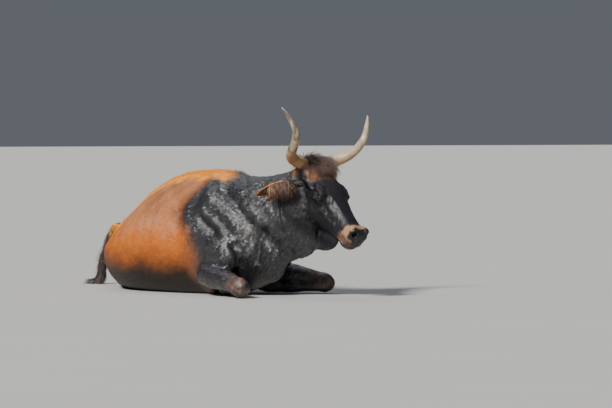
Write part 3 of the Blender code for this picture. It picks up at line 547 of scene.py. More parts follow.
@dataclass
class Head:
    """The head: its place, its profile and the forms on it."""

    poll: Point = (1.047, 0.189, 0.748)
    yaw: float = math.radians(6)
    pitch: float = math.radians(45)
    roll: float = math.radians(-4)
    eye: Point = (0.212, 0.106, -0.062)
    eye_radius: float = 0.021
    horn_seat: Point = (0.0, 0.105, -0.02)
    # t from poll to muzzle, top, bottom, middle, half width, crest, keel
    profile: Sequence[Point] = (
        (-0.055, -0.070, -0.150, -0.11, 0.045, 2.0, 2.0),
        (-0.035, -0.035, -0.190, -0.10, 0.090, 2.2, 2.0),
        (0.000, -0.008, -0.225, -0.08, 0.107, 2.4, 2.0),
        (0.050, 0.000, -0.245, -0.07, 0.108, 2.7, 1.9),
        (0.110, 0.002, -0.255, -0.08, 0.104, 2.7, 1.9),
        (0.170, 0.004, -0.255, -0.07, 0.106, 2.8, 1.8),
        (0.220, 0.002, -0.248, -0.08, 0.102, 2.7, 1.8),
        (0.280, -0.004, -0.228, -0.09, 0.086, 2.5, 1.9),
        (0.340, -0.012, -0.200, -0.09, 0.074, 2.5, 2.0),
        (0.400, -0.018, -0.178, -0.085, 0.066, 2.5, 2.1),
        (0.450, -0.021, -0.166, -0.080, 0.065, 2.6, 2.2),
        (0.490, -0.015, -0.160, -0.076, 0.070, 2.7, 2.3),
        (0.520, -0.024, -0.150, -0.076, 0.068, 2.6, 2.3),
        (0.538, -0.040, -0.130, -0.078, 0.054, 2.4, 2.2),
        (0.546, -0.058, -0.105, -0.080, 0.030, 2.2, 2.2),
    )

    def place(self) -> Matrix:
        """Carries the head's own frame, poll at the origin and face along X, to its place."""
        turned = Matrix.Rotation(self.yaw, 4, "Z") @ Matrix.Rotation(self.pitch, 4, "Y")
        return Matrix.Translation(Vector(self.poll)) @ turned @ Matrix.Rotation(self.roll, 4, "X")

    def axes(self, side: int) -> tuple[Vector, Vector, Vector]:
        """Outward, forward and up at the poll, level with the floor but for the head's roll."""
        forward = Vector((math.cos(self.yaw), math.sin(self.yaw), 0))
        outward = Vector((-math.sin(self.yaw), math.cos(self.yaw), math.sin(self.roll))) * side
        return outward.normalized(), forward, Vector((0, 0, 1))

    def inside(self, points: Array) -> Array:
        """Points of the measured frame seen in the head's own frame."""
        turn = np.array(self.place().inverted())
        return points @ turn[:3, :3].T + turn[:3, 3]

    def outside(self, points: Array) -> Array:
        """Points of the head's own frame seen in the measured frame."""
        turn = np.array(self.place())
        return np.asarray(points, float) @ turn[:3, :3].T + turn[:3, 3]

    def model(self, clay: Clay) -> None:
        """Adds the head with its brows, cheeks, muzzle and the seats of the horns.

        Args:
            clay: the forms that are to be fused.
        """
        place = self.place()
        table = np.array(self.profile)
        ts = np.linspace(table[0, 0], table[-1, 0], 90)
        rings = []
        for t, (top, bottom, middle, wide, crest, keel) in zip(ts, flow(table[:, 0], table[:, 1:], ts)):
            side, up = oval(wide, wide, top, bottom, middle, (crest, crest), keel)
            rings.append(np.column_stack([np.full(len(side), t), side, up]))
        clay.loft(rings, place)
        clay.lump((0.0, 0, -0.03), (0.05, 0.085, 0.042), place=place)
        clay.lump((0.04, 0, -0.004), (0.085, 0.092, 0.026), (0, 4, 0), place)
        clay.lump((0.49, 0, -0.138), (0.05, 0.048, 0.03), (0, -6, 0), place)
        x, y, z = self.eye
        for side in (-1, 1):
            clay.lump((x, side * (y - 0.01), z + 0.006), (0.05, 0.028, 0.038), place=place)
            clay.lump((x - 0.02, side * (y - 0.016), z + 0.036), (0.052, 0.026, 0.022), place=place)
            clay.lump((0.185, side * 0.066, -0.15), (0.11, 0.038, 0.085), (0, 18, 0), place)
            clay.lump((0.485, side * 0.038, -0.095), (0.055, 0.034, 0.036), (0, 8, 0), place)
            clay.lump((0.5, side * 0.042, -0.038), (0.036, 0.028, 0.034), place=place)
            t, out, up = self.horn_seat
            stub = [(t + 0.01, side * 0.04, up - 0.01), (t, side * (out + 0.012), up)]
            clay.tube(stub, [(0.046, 0.046), (0.037, 0.037)], 6, place)


@dataclass
class Limb:
    """One leg section: a tube through joints, with swellings on it."""

    name: str
    line: Sequence[Point]
    radii: Sequence[Point]
    lumps: Sequence[tuple] = ()

    def model(self, clay: Clay) -> None:
        """Adds the section to the clay."""
        clay.tube(self.line, self.radii, 22)
        for centre, radii, turn in self.lumps:
            clay.lump(centre, radii, turn)


ARM = ((0.07, 0.07), (0.077, 0.073), (0.062, 0.063), (0.05, 0.052), (0.05, 0.048))
CANNON = ((0.036, 0.036), (0.03, 0.034), (0.036, 0.04), (0.034, 0.036))
HIND_CANNON = ((0.036, 0.042), (0.03, 0.036), (0.036, 0.04), (0.034, 0.036))
KNEE, ELBOW = (0.068, 0.056, 0.06), (0.07, 0.055, 0.062)

LIMBS = (
    Limb(
        "forearm_right",
        (
            (0.5, -0.15, 0.17), (0.6, -0.205, 0.116), (0.75, -0.222, 0.096),
            (0.87, -0.238, 0.074), (0.93, -0.245, 0.058),
        ),
        ARM,
        (((0.915, -0.244, 0.062), KNEE, (0, 14, -8)), ((0.555, -0.215, 0.115), ELBOW, (0, 0, -8))),
    ),
    Limb(
        "forearm_left",
        (
            (0.44, 0.16, 0.18), (0.49, 0.262, 0.128), (0.63, 0.358, 0.104),
            (0.735, 0.428, 0.078), (0.785, 0.462, 0.06),
        ),
        ARM,
        (((0.765, 0.45, 0.064), KNEE, (0, 14, 34)), ((0.445, 0.255, 0.12), ELBOW, (0, 0, 34))),
    ),
    Limb(
        "fore_cannon_right",
        ((0.935, -0.225, 0.048), (0.83, -0.185, 0.042), (0.745, -0.155, 0.04), (0.675, -0.13, 0.04)),
        CANNON,
    ),
    Limb(
        "fore_cannon_left",
        ((0.8, 0.45, 0.048), (0.71, 0.366, 0.042), (0.64, 0.306, 0.04), (0.58, 0.262, 0.04)),
        CANNON,
    ),
    Limb(
        "thigh_left",
        ((-0.6, 0.22, 0.25), (-0.42, 0.3, 0.265), (-0.24, 0.385, 0.235), (-0.125, 0.428, 0.195)),
        ((0.12, 0.17), (0.11, 0.16), (0.085, 0.125), (0.062, 0.082)),
    ),
    Limb(
        "shank_left",
        ((-0.13, 0.44, 0.175), (-0.28, 0.465, 0.15), (-0.42, 0.49, 0.11), (-0.52, 0.505, 0.085)),
        ((0.06, 0.085), (0.055, 0.075), (0.036, 0.048), (0.034, 0.044)),
        (((-0.545, 0.505, 0.095), (0.04, 0.03, 0.042), (0, 20, 0)),),
    ),
    Limb(
        "hind_cannon_left",
        ((-0.5, 0.515, 0.06), (-0.34, 0.54, 0.045), (-0.19, 0.565, 0.042), (-0.1, 0.582, 0.042)),
        HIND_CANNON,
    ),
    Limb(
        "hind_cannon_right",
        ((-0.2, 0.24, 0.05), (-0.08, 0.315, 0.045), (0.0, 0.365, 0.042)),
        HIND_CANNON[1:],
    ),
)


@dataclass
class Tail:
    """The tail's stem and the line that its long hair follows."""

    stem: Sequence[Point] = (
        (-0.56, 0.045, 0.33), (-0.66, 0.052, 0.35), (-0.74, 0.06, 0.343), (-0.81, 0.07, 0.292),
        (-0.87, 0.078, 0.215), (-0.902, 0.068, 0.13), (-0.908, 0.062, 0.07),
    )
    radii: Sequence[Point] = (
        (0.012, 0.01), (0.023, 0.02), (0.031, 0.028), (0.031, 0.028),
        (0.026, 0.024), (0.021, 0.02), (0.018, 0.018),
    )
    switch: Sequence[Point] = (
        (-0.902, 0.066, 0.13), (-0.91, 0.061, 0.06), (-0.93, 0.05, 0.024),
        (-0.96, 0.03, 0.014), (-0.985, 0.005, 0.008),
    )

    def model(self, clay: Clay) -> None:
        """Adds the stem to the clay."""
        clay.tube(self.stem, self.radii, 30)


@dataclass
class Ear:
    """One ear: a curled leaf with a cup that opens forward and down."""

    head: Head
    side: int
    length: float = 0.266
    skin: float = 0.0012
    root: Point = (0.062, 0.088, -0.112)
    # share of the length, and half the width there or the turn of its edge in degrees
    outline: Sequence[Point] = (
        (0, 0.026), (0.12, 0.03), (0.3, 0.046), (0.5, 0.054),
        (0.7, 0.047), (0.86, 0.03), (0.95, 0.016), (1.0, 0.004),
    )
    curl: Sequence[Point] = ((0, 150), (0.12, 130), (0.3, 88), (0.5, 66), (0.75, 56), (1.0, 40))

    def axes(self) -> tuple[Vector, Vector, Vector, Vector]:
        """Root, line to the tip, the cup's opening and the way across the ear."""
        outward, forward, up = self.head.axes(self.side)
        root = self.head.place() @ Vector((self.root[0], self.side * self.root[1], self.root[2]))
        line = (outward * 0.8 - forward * 0.54 - up * 0.2).normalized()
        mouth = forward * 0.5 - up * 0.66 + outward * 0.4
        mouth = (mouth - line * mouth.dot(line)).normalized()
        return root, line, mouth, line.cross(mouth)

    def points(self, s: Array, v: Array, inset: Array) -> Array:
        """Points of the leaf.

        Args:
            s: share of the length.
            v: place across, from -1 to 1.
            inset: depth from the back towards the cup.

        Returns:
            One point for each set of values.
        """
        root, line, mouth, rim = (np.array(a) for a in self.axes())
        wide = flow(*zip(*self.outline), s)[:, 0]
        turn = np.radians(flow(*zip(*self.curl), s)[:, 0])
        radius = wide / np.maximum(np.sin(np.minimum(turn, math.pi / 2)), 0.2)
        centre = root + np.outer(self.length * s - 0.02, line)
        centre[:, 2] -= 0.028 * s * s
        reach = radius - inset
        deep = radius - reach * np.cos(v * turn) - 0.5 * wide
        return centre + np.outer(reach * np.sin(v * turn), rim) + np.outer(deep, mouth)

    def surface(self) -> tuple[Surface, Marks]:
        """The leaf as a closed surface, with its share of length and whether it faces the cup."""
        rows, columns = 44, 26
        s, v = np.meshgrid(np.linspace(0, 1, rows), np.linspace(-1, 1, columns), indexing="ij")
        thick = (0.006 * (1 - 0.55 * s) * np.sqrt(np.clip(1 - v**2 * 0.8, 0, 1))).ravel()
        back = self.points(s.ravel(), v.ravel(), np.full(s.size, self.skin))
        cup = self.points(s.ravel(), v.ravel(), self.skin + thick)
        quads = []
        size = rows * columns
        for i in range(rows - 1):
            for j in range(columns - 1):
                a = i * columns + j
                quads.append((a, a + columns, a + columns + 1, a + 1))
                quads.append((size + a, size + a + 1, size + a + columns + 1, size + a + columns))
            a, b = i * columns, i * columns + columns - 1
            quads.append((a, size + a, size + a + columns, a + columns))
            quads.append((b, b + columns, size + b + columns, size + b))
        for j in range(columns - 1):
            quads.append((j, j + 1, size + j + 1, size + j))
            a = (rows - 1) * columns + j
            quads.append((a, size + a, size + a + 1, a + 1))
        faces = np.array(quads)
        points = np.vstack([back, cup])
        triangles = np.vstack([faces[:, [0, 1, 2]], faces[:, [0, 2, 3]]])
        cupped = np.repeat([0.0, 1.0], size)
        own = {"length": np.tile(s.ravel(), 2), "cup": cupped, "across": np.tile(v.ravel(), 2)}
        return Surface(points, triangles).turned_out(), own


class Marking(Enum):
    """The coat's colours, painted sheen and painted shade among them, each kept as a share at every point."""

    BROWN = "brown"
    STRIPE = "stripe"
    # darker towards the bottom of the brown flank, partly the coat's darker underside and partly painted
    # shade near the floor, and a darker mottled patch behind the shoulder
    SHADE = "shade"
    # painted sheen: the upper brown flank made paler and pinker where light from above glints on the hair
    SHEEN_TAN = "tan"
    BUFF = "buff"
    BARE = "bare"
    RUST = "rust"
    GOLD = "gold"
    CRIMP = "crimp"


@dataclass
class Markings:
    """Where the coat's colours lie, worked out from the animal's own forms."""

    trunk: Trunk
    head: Head

    def at(self, points: Array) -> Marks:
        """The share of each colour.

        Args:
            points: points of the measured frame.

        Returns:
            A share for each point, by the colour's name.
        """
        x, _, z = points.T
        ragged = waves(points, 0.1, 3) * 0.02 + waves(points, 0.035, 4) * 0.01
        edge = x + 0.13 * hump(z - 0.48, 0.11) + 0.1 * np.maximum(z - 0.36, 0) + ragged
        brown = wane(0.37, 0.54, edge)
        gap, share, _ = nearest(points, self.trunk.crest_line())
        reach = 0.225 - 0.105 * rise(0.3, 0.9, share) + 0.03 * waves(points, 0.1, 5)
        stripe = wane(0.5, 1.0, gap / reach) * wane(0.52, 0.62, x + ragged)
        # darker towards the bottom of the brown flank: partly the coat's darker underside, partly painted
        # shade where the flank nears the floor
        low = wane(0.05, 0.31, z + 0.9 * ragged) * brown
        dusk = hump(edge - 0.25, 0.17) * rise(0.38, 0.5, z) * (1 - stripe) * brown
        mottled = dusk * (0.26 + 0.16 * waves(points, 0.15, 11) + 0.05 * waves(points, 0.035, 12))
        # painted sheen over the upper part of the brown flank
        flank = rise(0.28, 0.44, z + 1.6 * ragged) * brown * (1 - stripe)
        crimp = 0.06 + 0.64 * rise(0.3, 0.6, x)
        marks = {
            Marking.BROWN: brown,
            Marking.STRIPE: stripe,
            Marking.SHADE: low + np.maximum(mottled, 0),
            Marking.SHEEN_TAN: flank,
            Marking.BUFF: self.buff(points),
            Marking.BARE: self.bare(points),
            Marking.RUST: self.rust(points),
            Marking.GOLD: self.gold(points),
            Marking.CRIMP: crimp,
        }
        return {mark.value: np.clip(values, 0, 1) for mark, values in marks.items()}

    def buff(self, points: Array) -> Array:
        """The pale ring round the muzzle, broad at the sides, thin over the nose and brown on the lips."""
        t, _, z = self.head.inside(points).T
        thin = 0.02 * rise(-0.045, -0.02, z)
        back = t - thin + 0.22 * (z + 0.07) + waves(points, 0.03, 6) * 0.004
        ring = rise(0.449, 0.466, back) * rise(-0.15, -0.125, z)
        lips = wane(-0.094, -0.068, z) * rise(0.458, 0.48, t)
        level = z + 0.124 + 0.32 * np.clip(0.47 - t, 0, 1)
        return ring * (1 - 0.8 * lips * (1 - 0.5 * hump(level - 0.006, 0.004)))

    def bare(self, points: Array) -> Array:
        """The wet bare skin round the nostrils and between them, down to the upper lip in front."""
        t, y, z = self.head.inside(points).T
        ragged = waves(points, 0.02, 7) * 0.003
        behind = rise(0.496, 0.51, t + 0.1 * (z + 0.06) + ragged)
        side = rise(0.02, 0.05, np.abs(y))
        wet = behind * rise(-0.112, -0.1, z - 0.028 * side + ragged)
        lips = wane(-0.098, -0.076, z) * rise(0.455, 0.478, t)
        return np.maximum(wet, lips * (0.5 + 0.45 * waves(points, 0.016, 10)))

    def rust(self, points: Array) -> Array:
        """Reddish brown on the forehead, the knees and under the chin."""
        t, _, z = self.head.inside(points).T
        forehead = wane(0.085, 0.15, t) * rise(-0.06, -0.02, z)
        chin = rise(0.43, 0.47, t) * wane(-0.1, -0.07, z)
        chin *= 0.6 + 0.4 * waves(points, 0.02, 9)
        knees = np.zeros(len(points))
        for limb in LIMBS[:2]:
            gap = lengths(points - np.array(limb.line[-1]))
            knees = np.maximum(knees, hump(gap, 0.1) * (0.45 + 0.5 * waves(points, 0.05, 8)))
        return forehead + chin + knees

    def gold(self, points: Array) -> Array:
        """Small orange patches beside the forelock and behind the horns."""
        h = self.head.inside(points)
        total = np.zeros(len(points))
        for side in (-1, 1):
            spot = lengths(h - np.array((0.085, side * 0.085, -0.008)))
            strip = lengths(h - np.array((-0.015, side * 0.112, -0.085)))
            total += hump(spot, 0.022) + hump(strip, 0.022)
        return total


@dataclass
class Zone:
    """A stretch of the body round one line, with the lie of its hair and its room on the coat's map."""

    name: str
    line: Array
    radius: float
    forward: float
    droop: float
    room: tuple[float, float, float, float]


@dataclass
class Lie:
    """The lie of the hair all over, and the map that gives each point a place on an unwrap of the coat."""

    zones: list[Zone]

    def weights(self, points: Array) -> tuple[Array, list[tuple]]:
        """How much each zone counts at points, and how the points lie beside each zone's line."""
        found = [nearest(points, zone.line) for zone in self.zones]
        far = np.column_stack([gap / zone.radius for (gap, _, _), zone in zip(found, self.zones)])
        weight = np.exp(-9 * (far - far.min(axis=1, keepdims=True)))
        return weight / weight.sum(axis=1, keepdims=True), found

    def ways(self, points: Array, normals: Array) -> Array:
        """The direction along the skin in which the hair lies."""
        weight, found = self.weights(points)
        total = np.zeros_like(points)
        for k, zone in enumerate(self.zones):
            way = found[k][2] * zone.forward + np.array((0, 0, -zone.droop))
            total += weight[:, k : k + 1] * way
        return flattened(total, normals)

    def strands(self, points: Array) -> Marks:
        """How far round and along its zone each point lies, in metres."""
        first = self.weights(points)[0].argmax(axis=1)
        chart = self.chart(points)
        around, run = np.zeros(len(points)), np.zeros(len(points))
        for k, zone in enumerate(self.zones):
            mine = first == k
            left, low, right, high = zone.room
            size = lengths(np.diff(zone.line, axis=0)).sum()
            around[mine] = (chart[mine, 0] - left) / (right - left) * 2 * math.pi * zone.radius
            run[mine] = (chart[mine, 1] - low) / (high - low) * size + k
        return {"around": around, "run": run}

    def chart(self, points: Array) -> Array:
        """Each point's place on an unwrap of the skin.

        Args:
            points: points of the measured frame.

        Returns:
            For each point its place round and along its zone's line, within the zone's room.
        """
        weight, found = self.weights(points)
        first = weight.argmax(axis=1)
        where = np.zeros((len(points), 2))
        for k, zone in enumerate(self.zones):
            mine = first == k
            if not mine.any():
                continue
            _, share, way = (a[mine] for a in found[k])
            run = np.linspace(0, 1, len(zone.line))
            centre = np.column_stack([np.interp(share, run, zone.line[:, a]) for a in range(3)])
            out = points[mine] - centre
            across = unit(np.cross(way, (0.02, 0.03, 1.0)))
            up = np.cross(across, way)
            turn = np.arctan2((out * across).sum(1), (out * up).sum(1)) / (2 * math.pi) + 0.5
            left, low, right, high = zone.room
            where[mine, 0] = left + (right - left) * turn
            where[mine, 1] = low + (high - low) * share
        return where


def body_zones(head: Head, tail: Tail) -> list[Zone]:
    """The zones of the whole body but for the ears.

    Args:
        head: carries the face's line to its place.
        tail: gives the stem's line.

    Returns:
        The zones.
    """
    spine = (
        (-0.88, 0.16, 0.16), (-0.6, 0.12, 0.22), (-0.3, 0.05, 0.28),
        (0.0, 0.0, 0.3), (0.35, 0.0, 0.32), (0.66, 0.03, 0.36),
    )
    nape = ((0.66, 0.03, 0.4), (0.82, 0.07, 0.46), (0.96, 0.12, 0.52), (1.06, 0.17, 0.62))
    face = head.outside(np.array(((-0.02, 0, -0.1), (0.2, 0, -0.1), (0.38, 0, -0.09), (0.54, 0, -0.08))))
    zones = [
        Zone("trunk", smooth_path(spine, 14), 0.33, -1.0, 0.55, (0.005, 0.005, 0.495, 0.745)),
        Zone("neck", smooth_path(nape, 8), 0.15, -1.0, 0.75, (0.005, 0.755, 0.495, 0.995)),
        Zone("head", smooth_path(face, 8), 0.085, 1.0, 0.35, (0.505, 0.755, 0.995, 0.995)),
        Zone("tail", smooth_path(tail.stem, 10), 0.028, 1.0, 0.1, (0.505, 0.005, 0.545, 0.745)),
    ]
    for k, limb in enumerate(LIMBS):
        left = 0.555 + 0.055 * k
        radius = 0.6 * float(np.mean(np.array(limb.radii)))
        line = smooth_path(limb.line, 8)
        zones.append(Zone(limb.name, line, max(radius, 0.035), 1.0, 0.25, (left, 0.005, left + 0.05, 0.605)))
    log.info("zones of the coat: %s", ", ".join(zone.name for zone in zones))
    return zones


@dataclass(frozen=True)
class Fold:
    """A rounded ridge of the hide, or a groove if its height is below nothing; width is half its width."""

    width: float
    height: float
    path: Sequence[Point]

    def heights(self, points: Array) -> Array:
        """Its height at each point, which fades out at its ends."""
        line = smooth_path(self.path, 24)
        low, high = line.min(axis=0) - 3 * self.width, line.max(axis=0) + 3 * self.width
        close = np.all((points > low) & (points < high), axis=1)
        total = np.zeros(len(points))
        gap, share, _ = nearest(points[close], line)
        fade = rise(0.0, 0.18, share) * wane(0.82, 1.0, share)
        total[close] = self.height * hump(gap, self.width) * fade
        return total

    def mirrored(self) -> "Fold":
        """The same fold on the other side of the bent neck."""
        line = np.asarray(self.path, float)
        bend = np.interp(line[:, 0], (0.6, 0.95, 1.1), (0.0, 0.1, 0.17))
        return replace(self, path=np.column_stack([line[:, 0], 2 * bend - line[:, 1], line[:, 2]]))


SHOULDER_EDGE = (
    (0.49, -0.215, 0.53), (0.53, -0.215, 0.475), (0.59, -0.21, 0.43),
    (0.66, -0.19, 0.38), (0.73, -0.178, 0.325), (0.8, -0.14, 0.32),
)

# right side of shoulders and neck, in the measured frame
NECK_FOLDS = (
    Fold(0.016, 0.013, SHOULDER_EDGE),
    Fold(0.024, -0.018, tuple((x - 0.012, y - 0.01, z - 0.045) for x, y, z in SHOULDER_EDGE)),
    Fold(0.04, 0.014, ((0.46, -0.18, 0.6), (0.58, -0.19, 0.53), (0.7, -0.16, 0.44), (0.8, -0.13, 0.36))),
    Fold(0.02, -0.013, ((0.54, -0.12, 0.64), (0.64, -0.12, 0.56), (0.76, -0.11, 0.46), (0.86, -0.09, 0.36))),
    Fold(0.036, -0.014, ((0.58, -0.1, 0.6), (0.64, -0.1, 0.57), (0.7, -0.09, 0.53), (0.75, -0.09, 0.49))),
    Fold(0.022, -0.022, ((0.9, -0.05, 0.4), (0.875, -0.07, 0.32), (0.86, -0.08, 0.22), (0.85, -0.08, 0.14))),
    Fold(0.016, -0.012, ((0.975, 0.02, 0.6), (0.965, 0.0, 0.52), (0.965, 0.0, 0.44), (0.975, 0.02, 0.34))),
    Fold(0.005, 0.009,
         ((0.975, -0.004, 0.53), (0.978, -0.008, 0.46), (0.985, 0.004, 0.4), (0.985, 0.03, 0.33))),
    Fold(0.016, 0.01, ((0.985, 0.02, 0.36), (0.955, 0.02, 0.3), (0.925, 0.02, 0.24), (0.89, 0.02, 0.18))),
    Fold(0.03, -0.005, ((0.3, -0.22, 0.56), (0.34, -0.25, 0.46), (0.37, -0.27, 0.36), (0.38, -0.27, 0.26))),
    Fold(0.03, 0.007, ((0.42, -0.18, 0.62), (0.4, -0.23, 0.5), (0.42, -0.25, 0.4), (0.44, -0.25, 0.3))),
)

# both sides of the face, in the head's own frame
FACE_FOLDS = (
    Fold(0.0085, 0.0065,
         ((0.165, 0.095, -0.048), (0.19, 0.112, -0.028), (0.222, 0.116, -0.026), (0.255, 0.098, -0.04))),
    Fold(0.005, -0.004,
         ((0.16, 0.09, -0.03), (0.19, 0.104, -0.01), (0.225, 0.106, -0.008), (0.262, 0.088, -0.022))),
    Fold(0.0085, 0.007,
         ((0.178, 0.104, -0.084), (0.2, 0.116, -0.098), (0.232, 0.114, -0.1), (0.262, 0.098, -0.086))),
    Fold(0.005, -0.003,
         ((0.17, 0.1, -0.1), (0.2, 0.108, -0.116), (0.24, 0.106, -0.118), (0.275, 0.092, -0.102))),
    Fold(0.0125, -0.011,
         ((0.245, 0.108, -0.052), (0.27, 0.098, -0.062), (0.295, 0.088, -0.074), (0.325, 0.08, -0.088))),
    Fold(0.011, 0.0085,
         ((0.04, 0.114, -0.085), (0.085, 0.112, -0.07), (0.13, 0.11, -0.062), (0.172, 0.108, -0.06))),
    Fold(0.013, 0.005,
         ((0.25, 0.098, -0.11), (0.31, 0.088, -0.115), (0.365, 0.078, -0.112), (0.41, 0.07, -0.105))),
    Fold(0.012, 0.003,
         ((0.24, 0.06, -0.01), (0.32, 0.05, -0.012), (0.4, 0.044, -0.01), (0.455, 0.04, -0.008))),
    Fold(0.014, -0.006,
         ((0.275, 0.088, -0.17), (0.262, 0.08, -0.205), (0.24, 0.066, -0.232), (0.21, 0.05, -0.25))),
    Fold(0.01, -0.0035,
         ((0.3, 0.082, -0.14), (0.33, 0.078, -0.15), (0.37, 0.07, -0.148), (0.41, 0.064, -0.14))),
    Fold(0.012, 0.005,
         ((0.08, 0.1, -0.06), (0.11, 0.108, -0.055), (0.145, 0.108, -0.06), (0.17, 0.104, -0.062))),
    Fold(0.01, -0.007,
         ((0.02, 0.112, -0.075), (0.06, 0.113, -0.085), (0.11, 0.112, -0.09), (0.15, 0.11, -0.092))),
)


@dataclass
class Sculptor:
    """Adds folds, lids, nostrils, lips and muscles to the grown body."""

    head: Head
    lid_room: float = 0.005
    opening: Point = (0.0225, 0.0105)

    def body_heights(self, p: Array) -> Array:
        """Muscle, bone and skin folds of the trunk and neck."""
        total = np.zeros(len(p))
        for fold in NECK_FOLDS:
            total += fold.heights(p) + fold.mirrored().heights(p)
        x, _, z = p.T
        neck = rise(0.52, 0.66, x) * wane(1.0, 1.08, x) * rise(0.1, 0.2, z)
        total += neck * (waves(p * (1.0, 1.0, 0.45), 0.045, 11) * 0.0014 + waves(p, 0.1, 12) * 0.003)
        trunk = wane(0.45, 0.6, x) * rise(0.02, 0.1, z)
        total += trunk * (waves(p, 0.22, 13) * 0.003 + waves(p, 0.07, 14) * 0.0004)
        ribs = rise(-0.35, -0.15, x) * wane(0.18, 0.3, x) * rise(0.2, 0.32, z) * wane(0.45, 0.58, z)
        bent = x + 0.25 * z + 0.012 * waves(p, 0.12, 15)
        return total + ribs * 0.0007 * np.cos(bent * 2 * math.pi / 0.075)

    def face_heights(self, p: Array) -> Array:
        """Brow folds, face bones, cheek, lips and chin, from points in the head's own frame."""
        q = folded(p)
        total = np.zeros(len(p))
        for fold in FACE_FOLDS:
            total += fold.heights(q)
        total += self.mouth(*q.T)
        total += self.wrinkles(p, *q.T)
        return total

    def mouth(self, t: Array, side: Array, z: Array) -> Array:
        """The line of the mouth with its lips, the chin's crease and the groove of the upper lip."""
        level = -0.124 - 0.32 * np.clip(0.47 - t, 0, 1)
        reach = rise(0.392, 0.412, t)
        total = -0.0068 * hump(z - level, 0.0036) * reach
        total += 0.004 * hump(z - level - 0.013, 0.008) * reach
        total += 0.003 * hump(z - level + 0.011, 0.007) * reach
        groove = 0.003 * hump(side, 0.0035) * rise(0.515, 0.53, t) * rise(-0.12, -0.1, z)
        return total - groove * wane(-0.06, -0.045, z)

    def wrinkles(self, p: Array, t: Array, side: Array, z: Array) -> Array:
        """Fine creases of the loose hide between eye and mouth and over the nose."""
        cheek = rise(0.17, 0.22, t) * wane(0.42, 0.46, t) * rise(0.045, 0.07, side)
        lines = waves(p * (1.0, 0.6, 0.5), 0.02, 21) * 0.0013 + waves(p * (0.8, 1, 1), 0.05, 22) * 0.002
        nose = rise(0.36, 0.42, t) * wane(0.47, 0.49, t) * rise(-0.05, -0.02, z)
        bent = t + 0.004 * waves(p, 0.05, 23)
        return cheek * lines + nose * 0.00015 * np.cos(bent * 2 * math.pi / 0.011)

    def lids(self, surface: Surface, h: Array) -> Array:
        """Draws the skin over each eyeball and opens it between the lids.

        Args:
            surface: the body, whose points are moved.
            h: its points in the head's own frame.

        Returns:
            How far each point lies in a lid's rim, from 0 to 1.
        """
        rim = np.zeros(len(h))
        radius = self.head.eye_radius
        for side in (-1, 1):
            x, y, z = self.head.eye
            centre = np.array((x, side * y, z))
            out = unit(np.array((0.3, side * 0.92, 0.16)))
            along = np.array((0.92, side * -0.28, 0.24))
            along = unit(along - out * (along @ out))
            up = np.cross(out, along) * side
            up = up if up[2] > 0 else -up
            d = h - centre
            a, b, c = d @ along, d @ up, d @ out
            near = (np.hypot(a, b) < 0.05) & (c > -0.02) & (side * h[:, 1] > 0.03)
            a, b, c = a[near], b[near], c[near]
            wide, high = self.opening
            arch = np.where(b > 0, high * 0.8, high * 1.05)
            inside = np.sqrt((a / wide) ** 2 + (b / arch) ** 2)
            flat = np.hypot(a, b)
            dome = np.sqrt(np.clip((radius + self.lid_room) ** 2 - flat**2, 0, 1))
            ball = np.sqrt(np.clip(radius**2 - flat**2, 0, 1))
            cover = wane(radius * 0.95, radius * 1.9, flat)
            lid = np.maximum(c, dome) * cover + c * (1 - cover)
            lid += 0.0022 * hump(inside - 1.22, 0.2) - 0.0022 * hump(inside - 1.95, 0.22) * (b > 0)
            hole = wane(0.9, 1.06, inside)
            new = lid * (1 - hole) + (ball - 0.006) * hole
            moved = h[near] + np.outer(new - c, out)
            surface.points[near] = self.head.outside(moved)
            rim[near] = np.maximum(rim[near], hump(inside - 1.05, 0.3))
        return rim

    def nostrils(self, surface: Surface, h: Array) -> Array:
        """Presses in the nostrils and raises their rims.

        Args:
            surface: the body, whose points are moved.
            h: its points in the head's own frame.

        Returns:
            How far inside a nostril each point lies, from 0 to 1.
        """
        depth = np.zeros(len(h))
        for side in (-1, 1):
            centre = np.array((0.519, side * 0.0465, -0.038))
            out = unit(np.array((0.8, side * 0.56, 0.16)))
            long = np.array((-0.35, side * 0.25, 0.9))
            long = unit(long - out * (long @ out))
            wide = np.cross(out, long)
            d = h - centre
            a, b, c = d @ long, d @ wide, d @ out
            near = (np.abs(c) < 0.03) & (np.hypot(a, b) < 0.045)
            a, b = a[near], b[near]
            bean = np.sqrt((a / 0.02) ** 2 + ((b - 12 * side * a * a) / 0.014) ** 2)
            hole = wane(0.55, 1.1, bean)
            lip = hump(bean - 1.4, 0.38)
            moved = h[near] + np.outer(0.0045 * lip - 0.022 * hole, out)
            surface.points[near] = self.head.outside(moved)
            depth[near] = np.maximum(depth[near], hole)
        return depth


